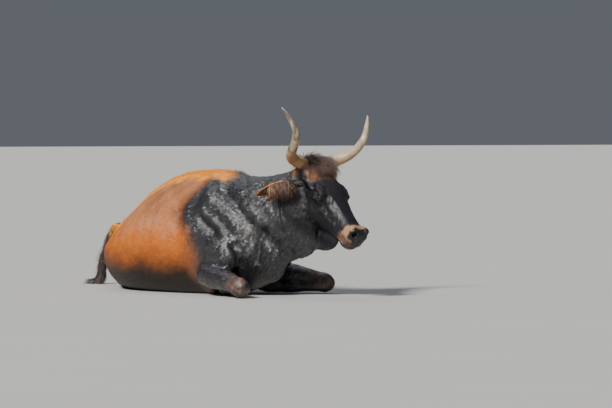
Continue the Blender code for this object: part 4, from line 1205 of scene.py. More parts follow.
@dataclass
class Skin:
    """One skin over trunk, neck, head, legs, tail and ears, as deep inside the coat as the hair is long."""

    trunk: Trunk
    head: Head
    tail: Tail
    ears: Sequence[Ear]
    lie: Lie
    markings: Markings
    shift: Array
    voxel: float = 0.0065
    coat_depth: float = 0.0055
    face_depth: float = 0.002
    lowest: float = 0.0015
    surface: Surface | None = None
    marks: Marks = field(default_factory=dict)

    def grown(self) -> bpy.types.Object:
        """The forms of the whole body fused together."""
        clay = Clay(self.voxel, 6)
        self.trunk.model(clay)
        self.head.model(clay)
        self.tail.model(clay)
        for limb in LIMBS:
            limb.model(clay)
        return clay.grow()

    def refine(self, obj: bpy.types.Object, chosen: Callable[[Array], Array]) -> None:
        """Halves the faces where chosen is true for both ends of an edge."""
        shape = bmesh.new()
        shape.from_mesh(obj.data)
        points = np.array([v.co[:] for v in shape.verts])
        inside = chosen(self.head.inside(points))
        edges = [e for e in shape.edges if inside[e.verts[0].index] and inside[e.verts[1].index]]
        bmesh.ops.subdivide_edges(shape, edges=edges, cuts=1, use_grid_fill=True)
        shape.to_mesh(obj.data)
        shape.free()

    def around_head(self, h: Array) -> Array:
        """Points of the head and the front of the neck."""
        return (h[:, 0] > -0.06) & (h[:, 2] > -0.3) & (np.abs(h[:, 1]) < 0.2)

    def around_features(self, h: Array) -> Array:
        """Points near the eyes, nostrils and mouth."""
        eye = lengths(folded(h) - np.array(self.head.eye)) < 0.055
        return eye | ((h[:, 0] > 0.39) & (h[:, 2] > -0.18) & (h[:, 1] < 0.2))

    def model(self) -> None:
        """Works out the surface and its marks."""
        obj = self.grown()
        self.refine(obj, self.around_head)
        self.refine(obj, self.around_features)
        surface = Surface.of(obj)
        surface.soften(3, self.around_head(self.head.inside(surface.points)).astype(float))
        surface.soften(2)
        h = self.head.inside(surface.points)
        facing = rise(-0.02, 0.08, h[:, 0]) * rise(-0.3, -0.24, h[:, 2])
        weight, _ = self.lie.weights(surface.points)
        legs = weight[:, 3:].sum(axis=1)
        depth = self.coat_depth + (self.face_depth - self.coat_depth) * np.maximum(facing, 0.6 * legs)
        sculptor = Sculptor(self.head)
        heights = sculptor.body_heights(surface.points) * (1 - facing) * (1 - legs)
        heights += sculptor.face_heights(h) * facing
        surface.push(heights - depth)
        rim = sculptor.lids(surface, self.head.inside(surface.points))
        hollow = sculptor.nostrils(surface, self.head.inside(surface.points))
        surface.points[:, 2] = np.maximum(surface.points[:, 2], self.lowest)
        marks = self.markings.at(surface.points)
        marks["rim"] = rim
        # how deep inside a nostril each point lies; it keeps hair out, and the finish paints shade there
        marks["hollow"] = hollow
        marks["cup"] = np.zeros(len(surface.points))
        marks["face"] = facing
        marks.update(self.lie.strands(surface.points))
        self.surface, self.marks = surface, marks

    def with_ears(self) -> tuple[Surface, Marks]:
        """The skin with both ears, and the marks of all of it."""
        points, triangles = [self.surface.points], [self.surface.triangles]
        marks = {key: [values] for key, values in self.marks.items()}
        start = len(self.surface.points)
        for ear in self.ears:
            leaf, own = ear.surface()
            points.append(leaf.points)
            triangles.append(leaf.triangles + start)
            start += len(leaf.points)
            shown = ear_marks(leaf.points, own)
            for key, values in marks.items():
                values.append(shown.get(key, np.zeros(len(leaf.points))))
        whole = Surface(np.vstack(points), np.vstack(triangles))
        return whole, {key: np.concatenate(values) for key, values in marks.items()}

    def build(self, material: bpy.types.Material) -> None:
        """Makes the piece."""
        whole, marks = self.with_ears()
        obj = Surface(whole.points + self.shift, whole.triangles).to_object("skin", marks, material)
        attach(obj, "root")
        apart = ("eye_", "horn_", "fore_hoof", "hind_hoof", "tail_switch")
        nodes = [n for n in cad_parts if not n.startswith(apart)]
        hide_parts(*nodes)
        log.info("skin: in place of %d nodes", len(nodes))


def ear_marks(points: Array, own: Marks) -> Marks:
    """The colours of an ear: black at the root, rust on its back, gold near the tip, and painted shade
    darkening the inside of the cup.

    Args:
        points: its points.
        own: where they lie along and across it, and which are in the cup.

    Returns:
        The marks.
    """
    tip = rise(0.45, 0.8, own["length"])
    rim = rise(0.75, 0.97, np.abs(own["across"]))
    root = wane(0.3, 0.48, own["length"] + 0.04 * waves(points, 0.03, 33))
    rust = (0.75 + 0.3 * waves(points, 0.03, 31)) * (1 - root)
    gold = np.clip(tip * (0.6 + 0.5 * waves(points, 0.04, 32)) + 0.7 * rim, 0, 1) * (1 - root)
    # painted shade inside the cup, deepest away from the rim and the tip
    deep = own["cup"] * (1 - 0.6 * rim) * (1 - 0.5 * tip)
    return {
        "rust": np.clip(rust * (1 - deep), 0, 1),
        "gold": gold * (1 - deep),
        "cup": deep,
        "face": np.ones(len(points)),
        "around": own["across"] * 0.05,
        "run": own["length"] * 0.25,
    }


def rings_surface(rings: Sequence[Array]) -> Surface:
    """A closed surface over rings of points, its ends closed by fans.

    Args:
        rings: each with the same count of points.

    Returns:
        The surface, facing outwards.
    """
    count = len(rings[0])
    points = np.vstack([*rings, rings[0].mean(axis=0), rings[-1].mean(axis=0)])
    j = np.arange(count)
    n = (j + 1) % count
    faces = []
    for k in range(len(rings) - 1):
        low, high = k * count, (k + 1) * count
        faces.append(np.column_stack([low + j, low + n, high + n]))
        faces.append(np.column_stack([low + j, high + n, high + j]))
    first, last = len(points) - 2, len(points) - 1
    end = (len(rings) - 1) * count
    faces.append(np.column_stack([n, j, np.full(count, first)]))
    faces.append(np.column_stack([end + j, end + n, np.full(count, last)]))
    return Surface(points, np.vstack(faces)).turned_out()


@dataclass
class Horn:
    """One horn: out from the poll, forward and up, then in at the tip."""

    head: Head
    side: int
    # outward, forward and up from the seat
    path: Sequence[Point] = (
        (-0.03, 0.004, -0.004), (0.01, 0.0, 0.0), (0.055, -0.014, 0.02), (0.107, 0.03, 0.05),
        (0.134, 0.08, 0.09), (0.151, 0.113, 0.135), (0.167, 0.122, 0.175), (0.19, 0.11, 0.225),
        (0.215, 0.092, 0.27), (0.225, 0.08, 0.287),
    )
    radii: Sequence[float] = (0.03, 0.032, 0.032, 0.028, 0.0245, 0.022, 0.0185, 0.013, 0.0075, 0.003)

    def line(self) -> list[tuple]:
        """The middle line in the measured frame."""
        outward, forward, up = self.head.axes(self.side)
        x, y, z = self.head.horn_seat
        seat = self.head.place() @ Vector((x, self.side * y, z))
        return [tuple(seat + outward * a + forward * b + up * c) for a, b, c in self.path]

    def build(self, shift: Array, material: bpy.types.Material) -> None:
        """Makes the piece with worn growth rings round its lower third.

        Args:
            shift: from the measured frame to the frame of the solids.
            material: its finish.
        """
        count, sides = 170, 48
        rings = tube_rings(self.line(), [(r, r) for r in self.radii], count, sides)
        turn = np.linspace(0, 2 * math.pi, sides, endpoint=False)
        shares = np.linspace(0, 1, len(rings))
        shaped = []
        for s, ring in zip(shares, rings):
            middle = ring.mean(axis=0)
            worn = float(wane(0.28, 0.5, s))
            ridge = 0.016 * worn * math.sin(s * 130 + 1.3 * math.sin(s * 37))
            ridge = ridge + 0.008 * worn * np.sin(5 * turn + 9 * s)
            shaped.append(middle + (ring - middle) * (1 + ridge)[:, None] + shift)
        surface = rings_surface(shaped)
        along = np.append(np.repeat(shares, sides), (0.0, 1.0))
        # how far each point faces down; the horn's finish paints shade on the lower side and a highlight on
        # the upper side from it
        under = 0.5 - 0.5 * surface.normals()[:, 2]
        name = "horn_left" if self.side > 0 else "horn_right"
        obj = surface.to_object(name + "_sheath", {"along": along, "under": under}, material)
        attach(obj, "root")
        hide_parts(name)


@dataclass
class Hoof:
    """Two claws side by side under one coronet."""

    name: str
    coronet: Point
    toe: Point

    def build(self, shift: Array, material: bpy.types.Material) -> None:
        """Makes the piece.

        Args:
            shift: from the measured frame to the frame of the solids.
            material: its finish.
        """
        start, end = Vector(self.coronet), Vector(self.toe)
        along = (end - start).normalized()
        across = along.cross(Vector((0, 0, 1))).normalized()
        clay = Clay(0.0028, 4)
        clay.tube([start - along * 0.012, start + along * 0.02], [(0.0355, 0.0355), (0.0395, 0.0335)], 6)
        for side in (-1, 1):
            step = across * side * 0.022
            points = [start + step * 0.8 + along * 0.004, start + step + along * 0.045, end + step * 0.9]
            clay.tube(points, [(0.021, 0.033), (0.021, 0.03), (0.012, 0.015)], 14)
        surface = Surface.of(clay.grow())
        surface.points[:, 2] = np.maximum(surface.points[:, 2], 0.0004)
        share = (surface.points - np.array(start)) @ np.array(along) / (end - start).length
        ripple = np.sin(share * 34 + 2 * waves(surface.points, 0.05, 99))
        surface.push(0.0002 * ripple * rise(0.1, 0.3, share))
        surface.points += shift
        obj = surface.to_object(self.name + "_claws", {"along": np.clip(share, 0, 1)}, material)
        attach(obj, "root")
        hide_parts(self.name)


HOOVES = (
    Hoof("fore_hoof_right", (0.672, -0.129, 0.04), (0.575, -0.105, 0.03)),
    Hoof("fore_hoof_left", (0.579, 0.261, 0.04), (0.495, 0.215, 0.03)),
    Hoof("hind_hoof_left", (-0.098, 0.582, 0.042), (0.0, 0.6, 0.028)),
    Hoof("hind_hoof_right", (0.002, 0.366, 0.042), (0.085, 0.415, 0.028)),
)


@dataclass
class Eye:
    """One eyeball with a low clear front over iris and pupil."""

    head: Head
    side: int
    iris: float = 0.62

    def build(self, shift: Array, material: bpy.types.Material) -> None:
        """Makes the piece.

        Args:
            shift: from the measured frame to the frame of the solids.
            material: its finish.
        """
        place = self.head.place()
        x, y, z = self.head.eye
        centre = np.array(place @ Vector((x, self.side * y, z)))
        out = np.array(place.to_3x3() @ Vector((0.3, self.side * 0.92, 0.1)).normalized())
        level = unit(np.cross((0, 0, 1.0), out))
        rows, columns, pole = 48, 64, 0.02
        spread = np.linspace(0, 2 * math.pi, columns, endpoint=False)
        rings = []
        for a in np.linspace(pole, math.pi - pole, rows):
            bulge = 0.0012 * math.exp(-((a / (0.7 * self.iris)) ** 2))
            radius = self.head.eye_radius - 0.0012 + bulge
            ring = np.outer(np.cos(spread), level) + np.outer(np.sin(spread), np.cross(out, level))
            rings.append(centre + radius * (math.cos(a) * out + math.sin(a) * ring))
        surface = rings_surface(rings)
        way = unit(surface.points - centre)
        angle = np.arccos(np.clip(way @ out, -1, 1)) / self.iris
        slit = np.hypot((way @ level) / 0.36, (way @ np.cross(out, level)) / 0.17)
        slit = np.where(way @ out > 0, slit, 9.0)
        surface.points += shift
        name = "eye_left" if self.side > 0 else "eye_right"
        obj = surface.to_object(name + "_ball", {"iris": angle, "pupil": slit}, material)
        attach(obj, "root")
        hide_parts(name)


@dataclass
class Roots:
    """Where tufts grow: places, outward directions, lie, marks and the lean of whole clumps of hair."""

    points: Array
    normals: Array
    ways: Array
    chart: Array
    marks: Marks
    lean: Array | None = None

    def chosen(self, keep: Array) -> "Roots":
        """The roots picked out by a mask or by their numbers."""
        marks = {key: values[keep] for key, values in self.marks.items()}
        lean = None if self.lean is None else self.lean[keep]
        return Roots(self.points[keep], self.normals[keep], self.ways[keep], self.chart[keep], marks, lean)


@dataclass
class Tufts:
    """Flat tapered tufts of hair with a raised middle.

    Their shading turns from their own faces to the hide's by the share sleek, and fan spreads it sideways.
    """

    length: Array
    width: Array
    lift: Array
    segments: int = 2
    thick: float = 0.22
    sink: float = 0.0012
    bend: float = 0.35
    floor: float = 0.0012
    sleek: float | Array = 0.55
    fan: float = 0.0
    patch: float = 0.003

    def surface(self, roots: Roots, fall: Array, chance: np.random.Generator) -> tuple[Surface, Marks, Array]:
        """Makes all tufts at once.

        Args:
            roots: where they grow.
            fall: the way each one bends towards.
            chance: the source of variation.

        Returns:
            The surface, its marks and the place of each point on the coat's map.
        """
        n = len(roots.points)
        heading = unit(roots.ways * np.cos(self.lift)[:, None] + roots.normals * np.sin(self.lift)[:, None])
        side = unit(np.cross(heading, roots.normals))
        spine = [roots.points - roots.normals * self.sink]
        for _ in range(self.segments):
            spine.append(spine[-1] + heading * (self.length / self.segments)[:, None])
            heading = unit(heading + fall * self.bend)
        blocks, along, across = [], [], []
        for k in range(self.segments):
            share = k / self.segments
            swell = (0.75, 1.0)[min(k, 1)] * (1 - share**2.2)
            ahead = unit(spine[k + 1] - spine[k])
            flat = side * (self.width * swell / 2)[:, None]
            high = np.cross(side, ahead) * (self.width * self.thick * swell)[:, None]
            blocks += [spine[k] - flat, spine[k] + high, spine[k] + flat]
            along += [share] * 3
            across += [-1, 0, 1]
        blocks.append(spine[-1])
        along.append(1.0)
        across.append(0.0)
        size = len(blocks)
        points = np.stack(blocks, axis=1).reshape(-1, 3)
        points[:, 2] = np.maximum(points[:, 2], self.floor)
        base = np.array(self.faces())
        triangles = (base[None] + (np.arange(n) * size)[:, None, None]).reshape(-1, 3)
        marks = {key: np.repeat(values, size) for key, values in roots.marks.items()}
        marks["tip"] = np.tile(along, n)
        marks["across"] = np.tile(across, n)
        marks["vary"] = np.repeat(chance.random(n), size)
        patch = np.column_stack([np.tile(across, n) / 2, np.tile(along, n) - 0.5]) * self.patch
        shape = Surface(points, triangles)
        lean = 0 if roots.lean is None else roots.lean
        turned = np.repeat(side * self.fan, size, axis=0) * marks["across"][:, None]
        lying = unit(np.repeat(unit(roots.normals + lean), size, axis=0) + turned)
        sleek = np.repeat(np.broadcast_to(self.sleek, n), size)[:, None]
        shape.shading = unit(shape.normals() * (1 - sleek) + lying * sleek)
        return shape, marks, np.repeat(roots.chart, size, axis=0) + patch

    def faces(self) -> list[tuple[int, int, int]]:
        """The triangles of one tuft."""
        found = [(2, 1, 0)]
        for k in range(self.segments - 1):
            a, b = 3 * k, 3 * k + 3
            for i, j in ((0, 1), (1, 2), (2, 0)):
                found += [(b + j, b + i, a + i), (a + j, b + j, a + i)]
        last = 3 * (self.segments - 1)
        tip = last + 3
        found += [(last + 1, tip, last), (last + 2, tip, last + 1), (last, tip, last + 2)]
        return found


class Ground:
    """The skin as the ground that short tufts lie on."""

    def __init__(self, surface: Surface) -> None:
        """Keeps the skin's points where the nearest one is found quickly."""
        self.points, self.normals = surface.points, surface.normals()
        self.tree = KDTree(len(self.points))
        for k, point in enumerate(self.points):
            self.tree.insert(point, k)
        self.tree.balance()

    def laid(self, points: Array, low: float, high: float) -> Array:
        """Points moved so that they are between two heights over the skin.

        Args:
            points: where they are.
            low: the lowest height.
            high: the greatest height.

        Returns:
            The moved points.
        """
        found = np.array([self.tree.find(point)[1] for point in points])
        normals = self.normals[found]
        height = ((points - self.points[found]) * normals).sum(axis=1)
        return points + normals * (np.clip(height, low, high) - height)[:, None]


@dataclass
class Coat:
    """All the hair: short tufts over the body, and the long hair that has its own shape."""

    skin: Skin
    lie: Lie
    material: bpy.types.Material
    shift: Array
    short_count: int = 255000
    crest_count: int = 6400
    forelock_count: int = 2300
    ear_count: int = 2600
    fringe_count: int = 1050
    tail_count: int = 2100
    limit: int = 190000
    total: int = 0

    def roots(self, count: int, density: Array, chance: np.random.Generator) -> Roots:
        """Picks places on the skin, spread evenly.

        Args:
            count: how many.
            density: how thickly they stand at each of the skin's points.
            chance: the source of variation.

        Returns:
            The roots.
        """
        surface = self.skin.surface
        faces = surface.face_normals()
        area = lengths(faces)
        weight = area * density[surface.triangles].mean(axis=1)
        run = np.cumsum(weight)
        at = (np.arange(count) + chance.random(count)) / count * run[-1]
        picked = np.minimum(np.searchsorted(run, at), len(run) - 1)
        a, b = chance.random(count), chance.random(count)
        flip = a + b > 1
        a[flip], b[flip] = 1 - a[flip], 1 - b[flip]
        corners = surface.triangles[picked]
        shares = np.column_stack([1 - a - b, a, b])
        points = np.einsum("ij,ijk->ik", shares, surface.points[corners])
        normals = unit(np.einsum("ij,ijk->ik", shares, surface.normals()[corners]))
        own = self.skin.marks.items()
        marks = {key: np.einsum("ij,ij->i", shares, values[corners]) for key, values in own}
        return Roots(points, normals, self.lie.ways(points, normals), self.lie.chart(points), marks)

    def piece(self, name: str, tufts: Tufts, roots: Roots, fall: Array, seed: int) -> None:
        """Makes one piece, or several where it would be too large.

        Args:
            name: the piece's name.
            tufts: their sizes and form.
            roots: where they grow.
            fall: the way each one bends towards.
            seed: picks their variation.
        """
        each = len(tufts.faces())
        most = self.limit // each
        parts = max(1, math.ceil(len(roots.points) / most))
        order = np.argsort(roots.points[:, 0], kind="stable")
        for k, mine in enumerate(np.array_split(order, parts)):
            chance = np.random.default_rng(seed + k)
            some = replace(tufts, length=tufts.length[mine], width=tufts.width[mine], lift=tufts.lift[mine])
            some.sleek = np.broadcast_to(tufts.sleek, len(order))[mine]
            surface, marks, chart = some.surface(roots.chosen(mine), fall[mine], chance)
            surface.points += self.shift
            obj = surface.to_object(name if parts == 1 else f"{name}_{k + 1}", marks, self.material)
            layer = obj.data.uv_layers.new(name="OFBake")
            layer.data.foreach_set("uv", chart[surface.triangles.ravel()].astype(np.float32).ravel())
            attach(obj, "root")
            self.total += len(surface.triangles)

    def short_lengths(self, points: Array) -> Array:
        """How long the short hair is at points: long on the trunk, short on face, legs and round the eyes."""
        weight, _ = self.lie.weights(points)
        length = weight @ np.array([0.02, 0.016, 0.0085, 0.024] + [0.012] * len(LIMBS))
        h = self.skin.head.inside(points)
        on_face = rise(-0.02, 0.08, h[:, 0]) * weight[:, 2]
        length *= 1 - 0.5 * rise(0.28, 0.44, h[:, 0]) * on_face
        beside = folded(h) - np.array(self.skin.head.eye)
        return length * (0.42 + 0.58 * rise(0.025, 0.07, lengths(beside)))

    def short_hair(self) -> None:
        """Tufts over trunk, neck, legs and head, laid flat on the skin."""
        chance = np.random.default_rng(101)
        surface, marks = self.skin.surface, self.skin.marks
        bare = np.maximum.reduce([marks["bare"] * 1.5, marks["rim"] * 1.6, marks["hollow"]])
        ground = rise(0.004, 0.012, surface.points[:, 2])
        density = (0.016 / self.short_lengths(surface.points)) ** 1.5 * np.clip(1 - bare, 0, 1) * ground
        n = self.short_count
        roots = self.roots(n, density, chance)
        long = self.short_lengths(roots.points) * chance.uniform(0.75, 1.25, n)
        swirl = drift(roots.points, 0.022, 61)
        curl = 0.1 + 0.5 * roots.marks["crimp"] * (1 - roots.marks["face"])
        ways = unit(roots.ways + 0.15 * chance.normal(size=roots.ways.shape) + swirl * curl[:, None])
        strong = 0.06 + 0.27 * np.maximum(roots.marks["crimp"], 0.8 * roots.marks["face"])
        clumps = drift(roots.points, 0.02, 81) * 0.9 + drift(roots.points, 0.075, 91) * 0.4
        grains = drift(roots.points, 0.011, 97) * (0.4 * roots.marks["face"])[:, None]
        roots.lean = clumps * strong[:, None] + grains
        raised = chance.normal(size=n) * (0.08 + 0.1 * (1 - roots.marks["brown"]))
        roots.lean += ways * raised[:, None]
        lift = np.radians(chance.uniform(2, 9, n))
        heading = ways * np.cos(lift)[:, None] + roots.normals * np.sin(lift)[:, None]
        tips = Ground(surface).laid(roots.points + heading * long[:, None], 0.0006, 0.0026)
        reach = tips - roots.points
        roots.ways = unit(reach)
        wide = long * chance.uniform(0.11, 0.17, n)
        sleek = 0.78 - 0.38 * roots.marks["face"]
        tufts = Tufts(lengths(reach), wide, np.zeros(n), 1, sink=0.0003, sleek=sleek, fan=0.45)
        self.piece("coat_short", tufts, roots, -roots.normals, 200)

    def crest(self) -> None:
        """The longer pale hair along the ridge of the back."""
        chance = np.random.default_rng(103)
        gap, share, _ = nearest(self.skin.surface.points, self.skin.trunk.crest_line())
        density = hump(gap, 0.055) * rise(0.02, 0.12, share)
        n = self.crest_count
        roots = self.roots(n, density, chance)
        _, share, _ = nearest(roots.points, self.skin.trunk.crest_line())
        high = 0.45 + 0.55 * rise(0.25, 0.6, share)
        long = chance.uniform(0.024, 0.046, n)
        roots.ways = unit(roots.ways + 0.24 * chance.normal(size=(n, 3)))
        lift = np.radians(chance.uniform(10, 34, n) * high)
        tufts = Tufts(long, long * chance.uniform(0.05, 0.09, n), lift, 3, bend=0.3, sleek=0.35)
        self.piece("coat_crest", tufts, roots, -roots.normals, 240)

    def forelock(self) -> None:
        """Shaggy hair between the horns that falls over the forehead, most of it to the left."""
        chance = np.random.default_rng(107)
        head = self.skin.head
        h = head.inside(self.skin.surface.points)
        density = rise(-0.045, -0.03, h[:, 0]) * wane(0.08, 0.115, h[:, 0])
        density *= wane(0.08, 0.1, np.abs(h[:, 1])) * rise(-0.06, -0.03, h[:, 2])
        n = self.forelock_count
        roots = self.roots(n, density, chance)
        inner = head.inside(roots.points)
        y = inner[:, 1]
        aside = 0.42 + 4.0 * y + chance.normal(size=n) * 0.3
        own = np.column_stack([np.full(n, 0.8), aside, np.full(n, -0.1)])
        roots.ways = flattened(unit(own @ np.array(head.place())[:3, :3].T), roots.normals)
        long = chance.uniform(0.035, 0.115, n) * (1 - 0.5 * rise(0.02, 0.09, inner[:, 0]))
        lift = np.radians(chance.uniform(12, 48, n))
        fall = roots.ways * 0.3 - roots.normals * 0.55 + np.array((0, 0, -0.3))
        fall += 0.55 * drift(roots.points, 0.018, 71) + 0.25 * chance.normal(size=(n, 3))
        rusty = np.clip(0.6 + 0.4 * waves(roots.points, 0.03, 41), 0, 1)
        roots.marks["rust"] = rusty * chance.uniform(0.3, 1, n)
        # pale strands: a random few all over, and more towards the forelock's left, lit side as a painted
        # sheen
        pale = np.clip(0.6 + waves(roots.points, 0.02, 42), 0, 1) * rise(-0.03, 0.05, y + inner[:, 2] * 0.3)
        roots.marks["buff"] = np.maximum(0.25, pale) * chance.random(n) ** 1.5
        tufts = Tufts(long, chance.uniform(0.0022, 0.005, n), lift, 5, bend=0.42, sleek=0.15)
        self.piece("forelock", tufts, roots, fall, 260)

    def ear_hair(self, ear: Ear) -> None:
        """Short hair over the back of an ear and in its cup, then its fringe.

        Args:
            ear: the ear that it grows on.
        """
        chance = np.random.default_rng(109 + ear.side)
        n = self.ear_count
        s, v = chance.uniform(0.03, 0.99, n), chance.uniform(-1, 1, n)
        on_cup = chance.random(n) < 0.3
        step = 0.004
        inset = np.where(on_cup, ear.skin + 0.006 * (1 - 0.55 * s) * np.sqrt(1 - v**2 * 0.8), ear.skin)
        here = ear.points(s, v, inset)
        ahead = ear.points(np.minimum(s + step, 1), v, inset) - here
        before, after = np.clip(v - step, -1, 1), np.clip(v + step, -1, 1)
        aside = ear.points(s, after, inset) - ear.points(s, before, inset)
        normals = unit(np.cross(aside, ahead))
        middle = ear.points(s, v, np.full(n, 0.02))
        outer = np.einsum("ij,ij->i", normals, here - middle) > 0
        normals[outer == on_cup] *= -1
        name = "left" if ear.side > 0 else "right"
        own = {"length": s, "across": v, "cup": on_cup.astype(float)}
        marks = self.full_marks(n, ear_marks(here, own))
        roots = Roots(here, normals, unit(ahead), self.ear_chart(ear, s, v), marks)
        long = chance.uniform(0.012, 0.022, n)
        tufts = Tufts(long, long * 0.26, np.radians(chance.uniform(8, 22, n)), sink=0.0005)
        self.piece("ear_hair_" + name, tufts, roots, -normals, 280)
        self.ear_fringe(ear, "ear_fringe_" + name, chance)

    def ear_fringe(self, ear: Ear, name: str, chance: np.random.Generator) -> None:
        """The long fringe that hangs from an ear's cup.

        Args:
            ear: the ear that it grows on.
            name: the piece's name.
            chance: the source of variation.
        """
        _, line, mouth, rim = (np.array(a) for a in ear.axes())
        high = 1 if rim[2] > 0 else -1
        n = self.fringe_count
        s = 0.3 + 0.44 * chance.random(n)
        v = high * chance.uniform(0.25, 0.98, n)
        here = ear.points(s, v, ear.skin + 0.004 * (1 - 0.45 * s))
        way = unit(mouth * 0.8 + rim * high * 0.2 - line * 0.12 + 0.24 * chance.normal(size=(n, 3)))
        own = {"length": s, "across": v, "cup": np.zeros(n)}
        marks = self.full_marks(n, ear_marks(here, own))
        marks["gold"] *= 0.15
        marks["rust"] *= chance.uniform(0.1, 0.55, n)
        marks["buff"] = 0.6 * chance.random(n) ** 3
        side = unit(np.cross(way, line))
        roots = Roots(here, side, way, self.ear_chart(ear, s, v), marks)
        long = chance.uniform(0.07, 0.175, n) * (1.0 - 0.45 * s)
        tufts = Tufts(long, chance.uniform(0.0018, 0.0036, n), np.zeros(n), 5, bend=0.55, sleek=0.2)
        fall = np.array((0, 0, -1.2)) - line * 0.15 + 0.3 * chance.normal(size=(n, 3))
        self.piece(name, tufts, roots, fall, 300)

    def ear_chart(self, ear: Ear, s: Array, v: Array) -> Array:
        """An ear's room on the coat's map."""
        left = 0.555 if ear.side > 0 else 0.775
        return np.column_stack([left + 0.1 * (v + 1), 0.62 + 0.12 * s])

    def full_marks(self, count: int, given: Marks) -> Marks:
        """Marks for every colour, none where they aren't given."""
        return {key: given.get(key, np.zeros(count)) for key in self.skin.marks}

    def switch(self, tail: Tail) -> None:
        """The long hair of the tail, which hangs from its lower half and lies on the floor.

        Args:
            tail: the stem that it grows on.
        """
        chance = np.random.default_rng(113)
        n = self.tail_count
        line = np.vstack([smooth_path(tail.stem[1:], 60)[:-4], smooth_path(tail.switch, 60)[2:]])
        last = len(line) - 1
        at = (chance.random(n) ** 0.8 * (last - 18)).astype(int)
        ahead = unit(line[np.minimum(at + 4, last)] - line[at])
        across = unit(np.cross(ahead, (0, 0, 1.0)))
        turn = chance.uniform(-math.pi, math.pi, n)
        out = across * np.cos(turn)[:, None] + np.cross(across, ahead) * np.sin(turn)[:, None]
        thick = np.interp(at, (0, 30, 56, 72, 88, last), (0.026, 0.024, 0.018, 0.024, 0.02, 0.006))
        here = line[at] + out * thick[:, None] * 0.7
        way = unit(ahead + out * 0.34 + 0.1 * chance.normal(size=(n, 3)))
        marks = self.full_marks(n, {"rust": np.clip(0.25 + 0.4 * waves(here, 0.03, 51), 0, 1)})
        roots = Roots(here, out, way, self.lie.chart(here), marks)
        long = chance.uniform(0.05, 0.12, n) * np.interp(at, (0, 25, last), (0.55, 1.0, 0.75))
        fall = unit(line[np.minimum(at + 12, last)] - line[at] + 1e-6) * 0.8 + np.array((0, 0, -0.25))
        tufts = Tufts(long, chance.uniform(0.0022, 0.0046, n), np.zeros(n), 5, bend=0.35, sleek=0.4)
        self.piece("tail_hair", tufts, roots, fall, 320)
        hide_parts("tail_switch")


class Signal:
    """A socket whose arithmetic adds the nodes that work it out."""

    def __init__(self, graph: "Graph", socket: bpy.types.NodeSocket) -> None:
        """Keeps the socket and the graph that it belongs to."""
        self.graph = graph
        self.socket = socket

    def __add__(self, other: "Signal | float") -> "Signal":
        """Sum."""
        return self.graph.maths("ADD", self, other)

    __radd__ = __add__

    def __sub__(self, other: "Signal | float") -> "Signal":
        """Difference."""
        return self.graph.maths("SUBTRACT", self, other)

    def __rsub__(self, other: "Signal | float") -> "Signal":
        """Difference from a number."""
        return self.graph.maths("SUBTRACT", other, self)

    def __mul__(self, other: "Signal | float") -> "Signal":
        """Product."""
        return self.graph.maths("MULTIPLY", self, other)

    def clamped(self) -> "Signal":
        """The value kept between 0 and 1."""
        return self.graph.maths("ADD", self, 0.0, clamp=True)


Value = Signal | float
Colour = Signal | Point


def scaled(colour: Point, by: float) -> Point:
    """A colour made darker or lighter."""
    return tuple(c * by for c in colour)


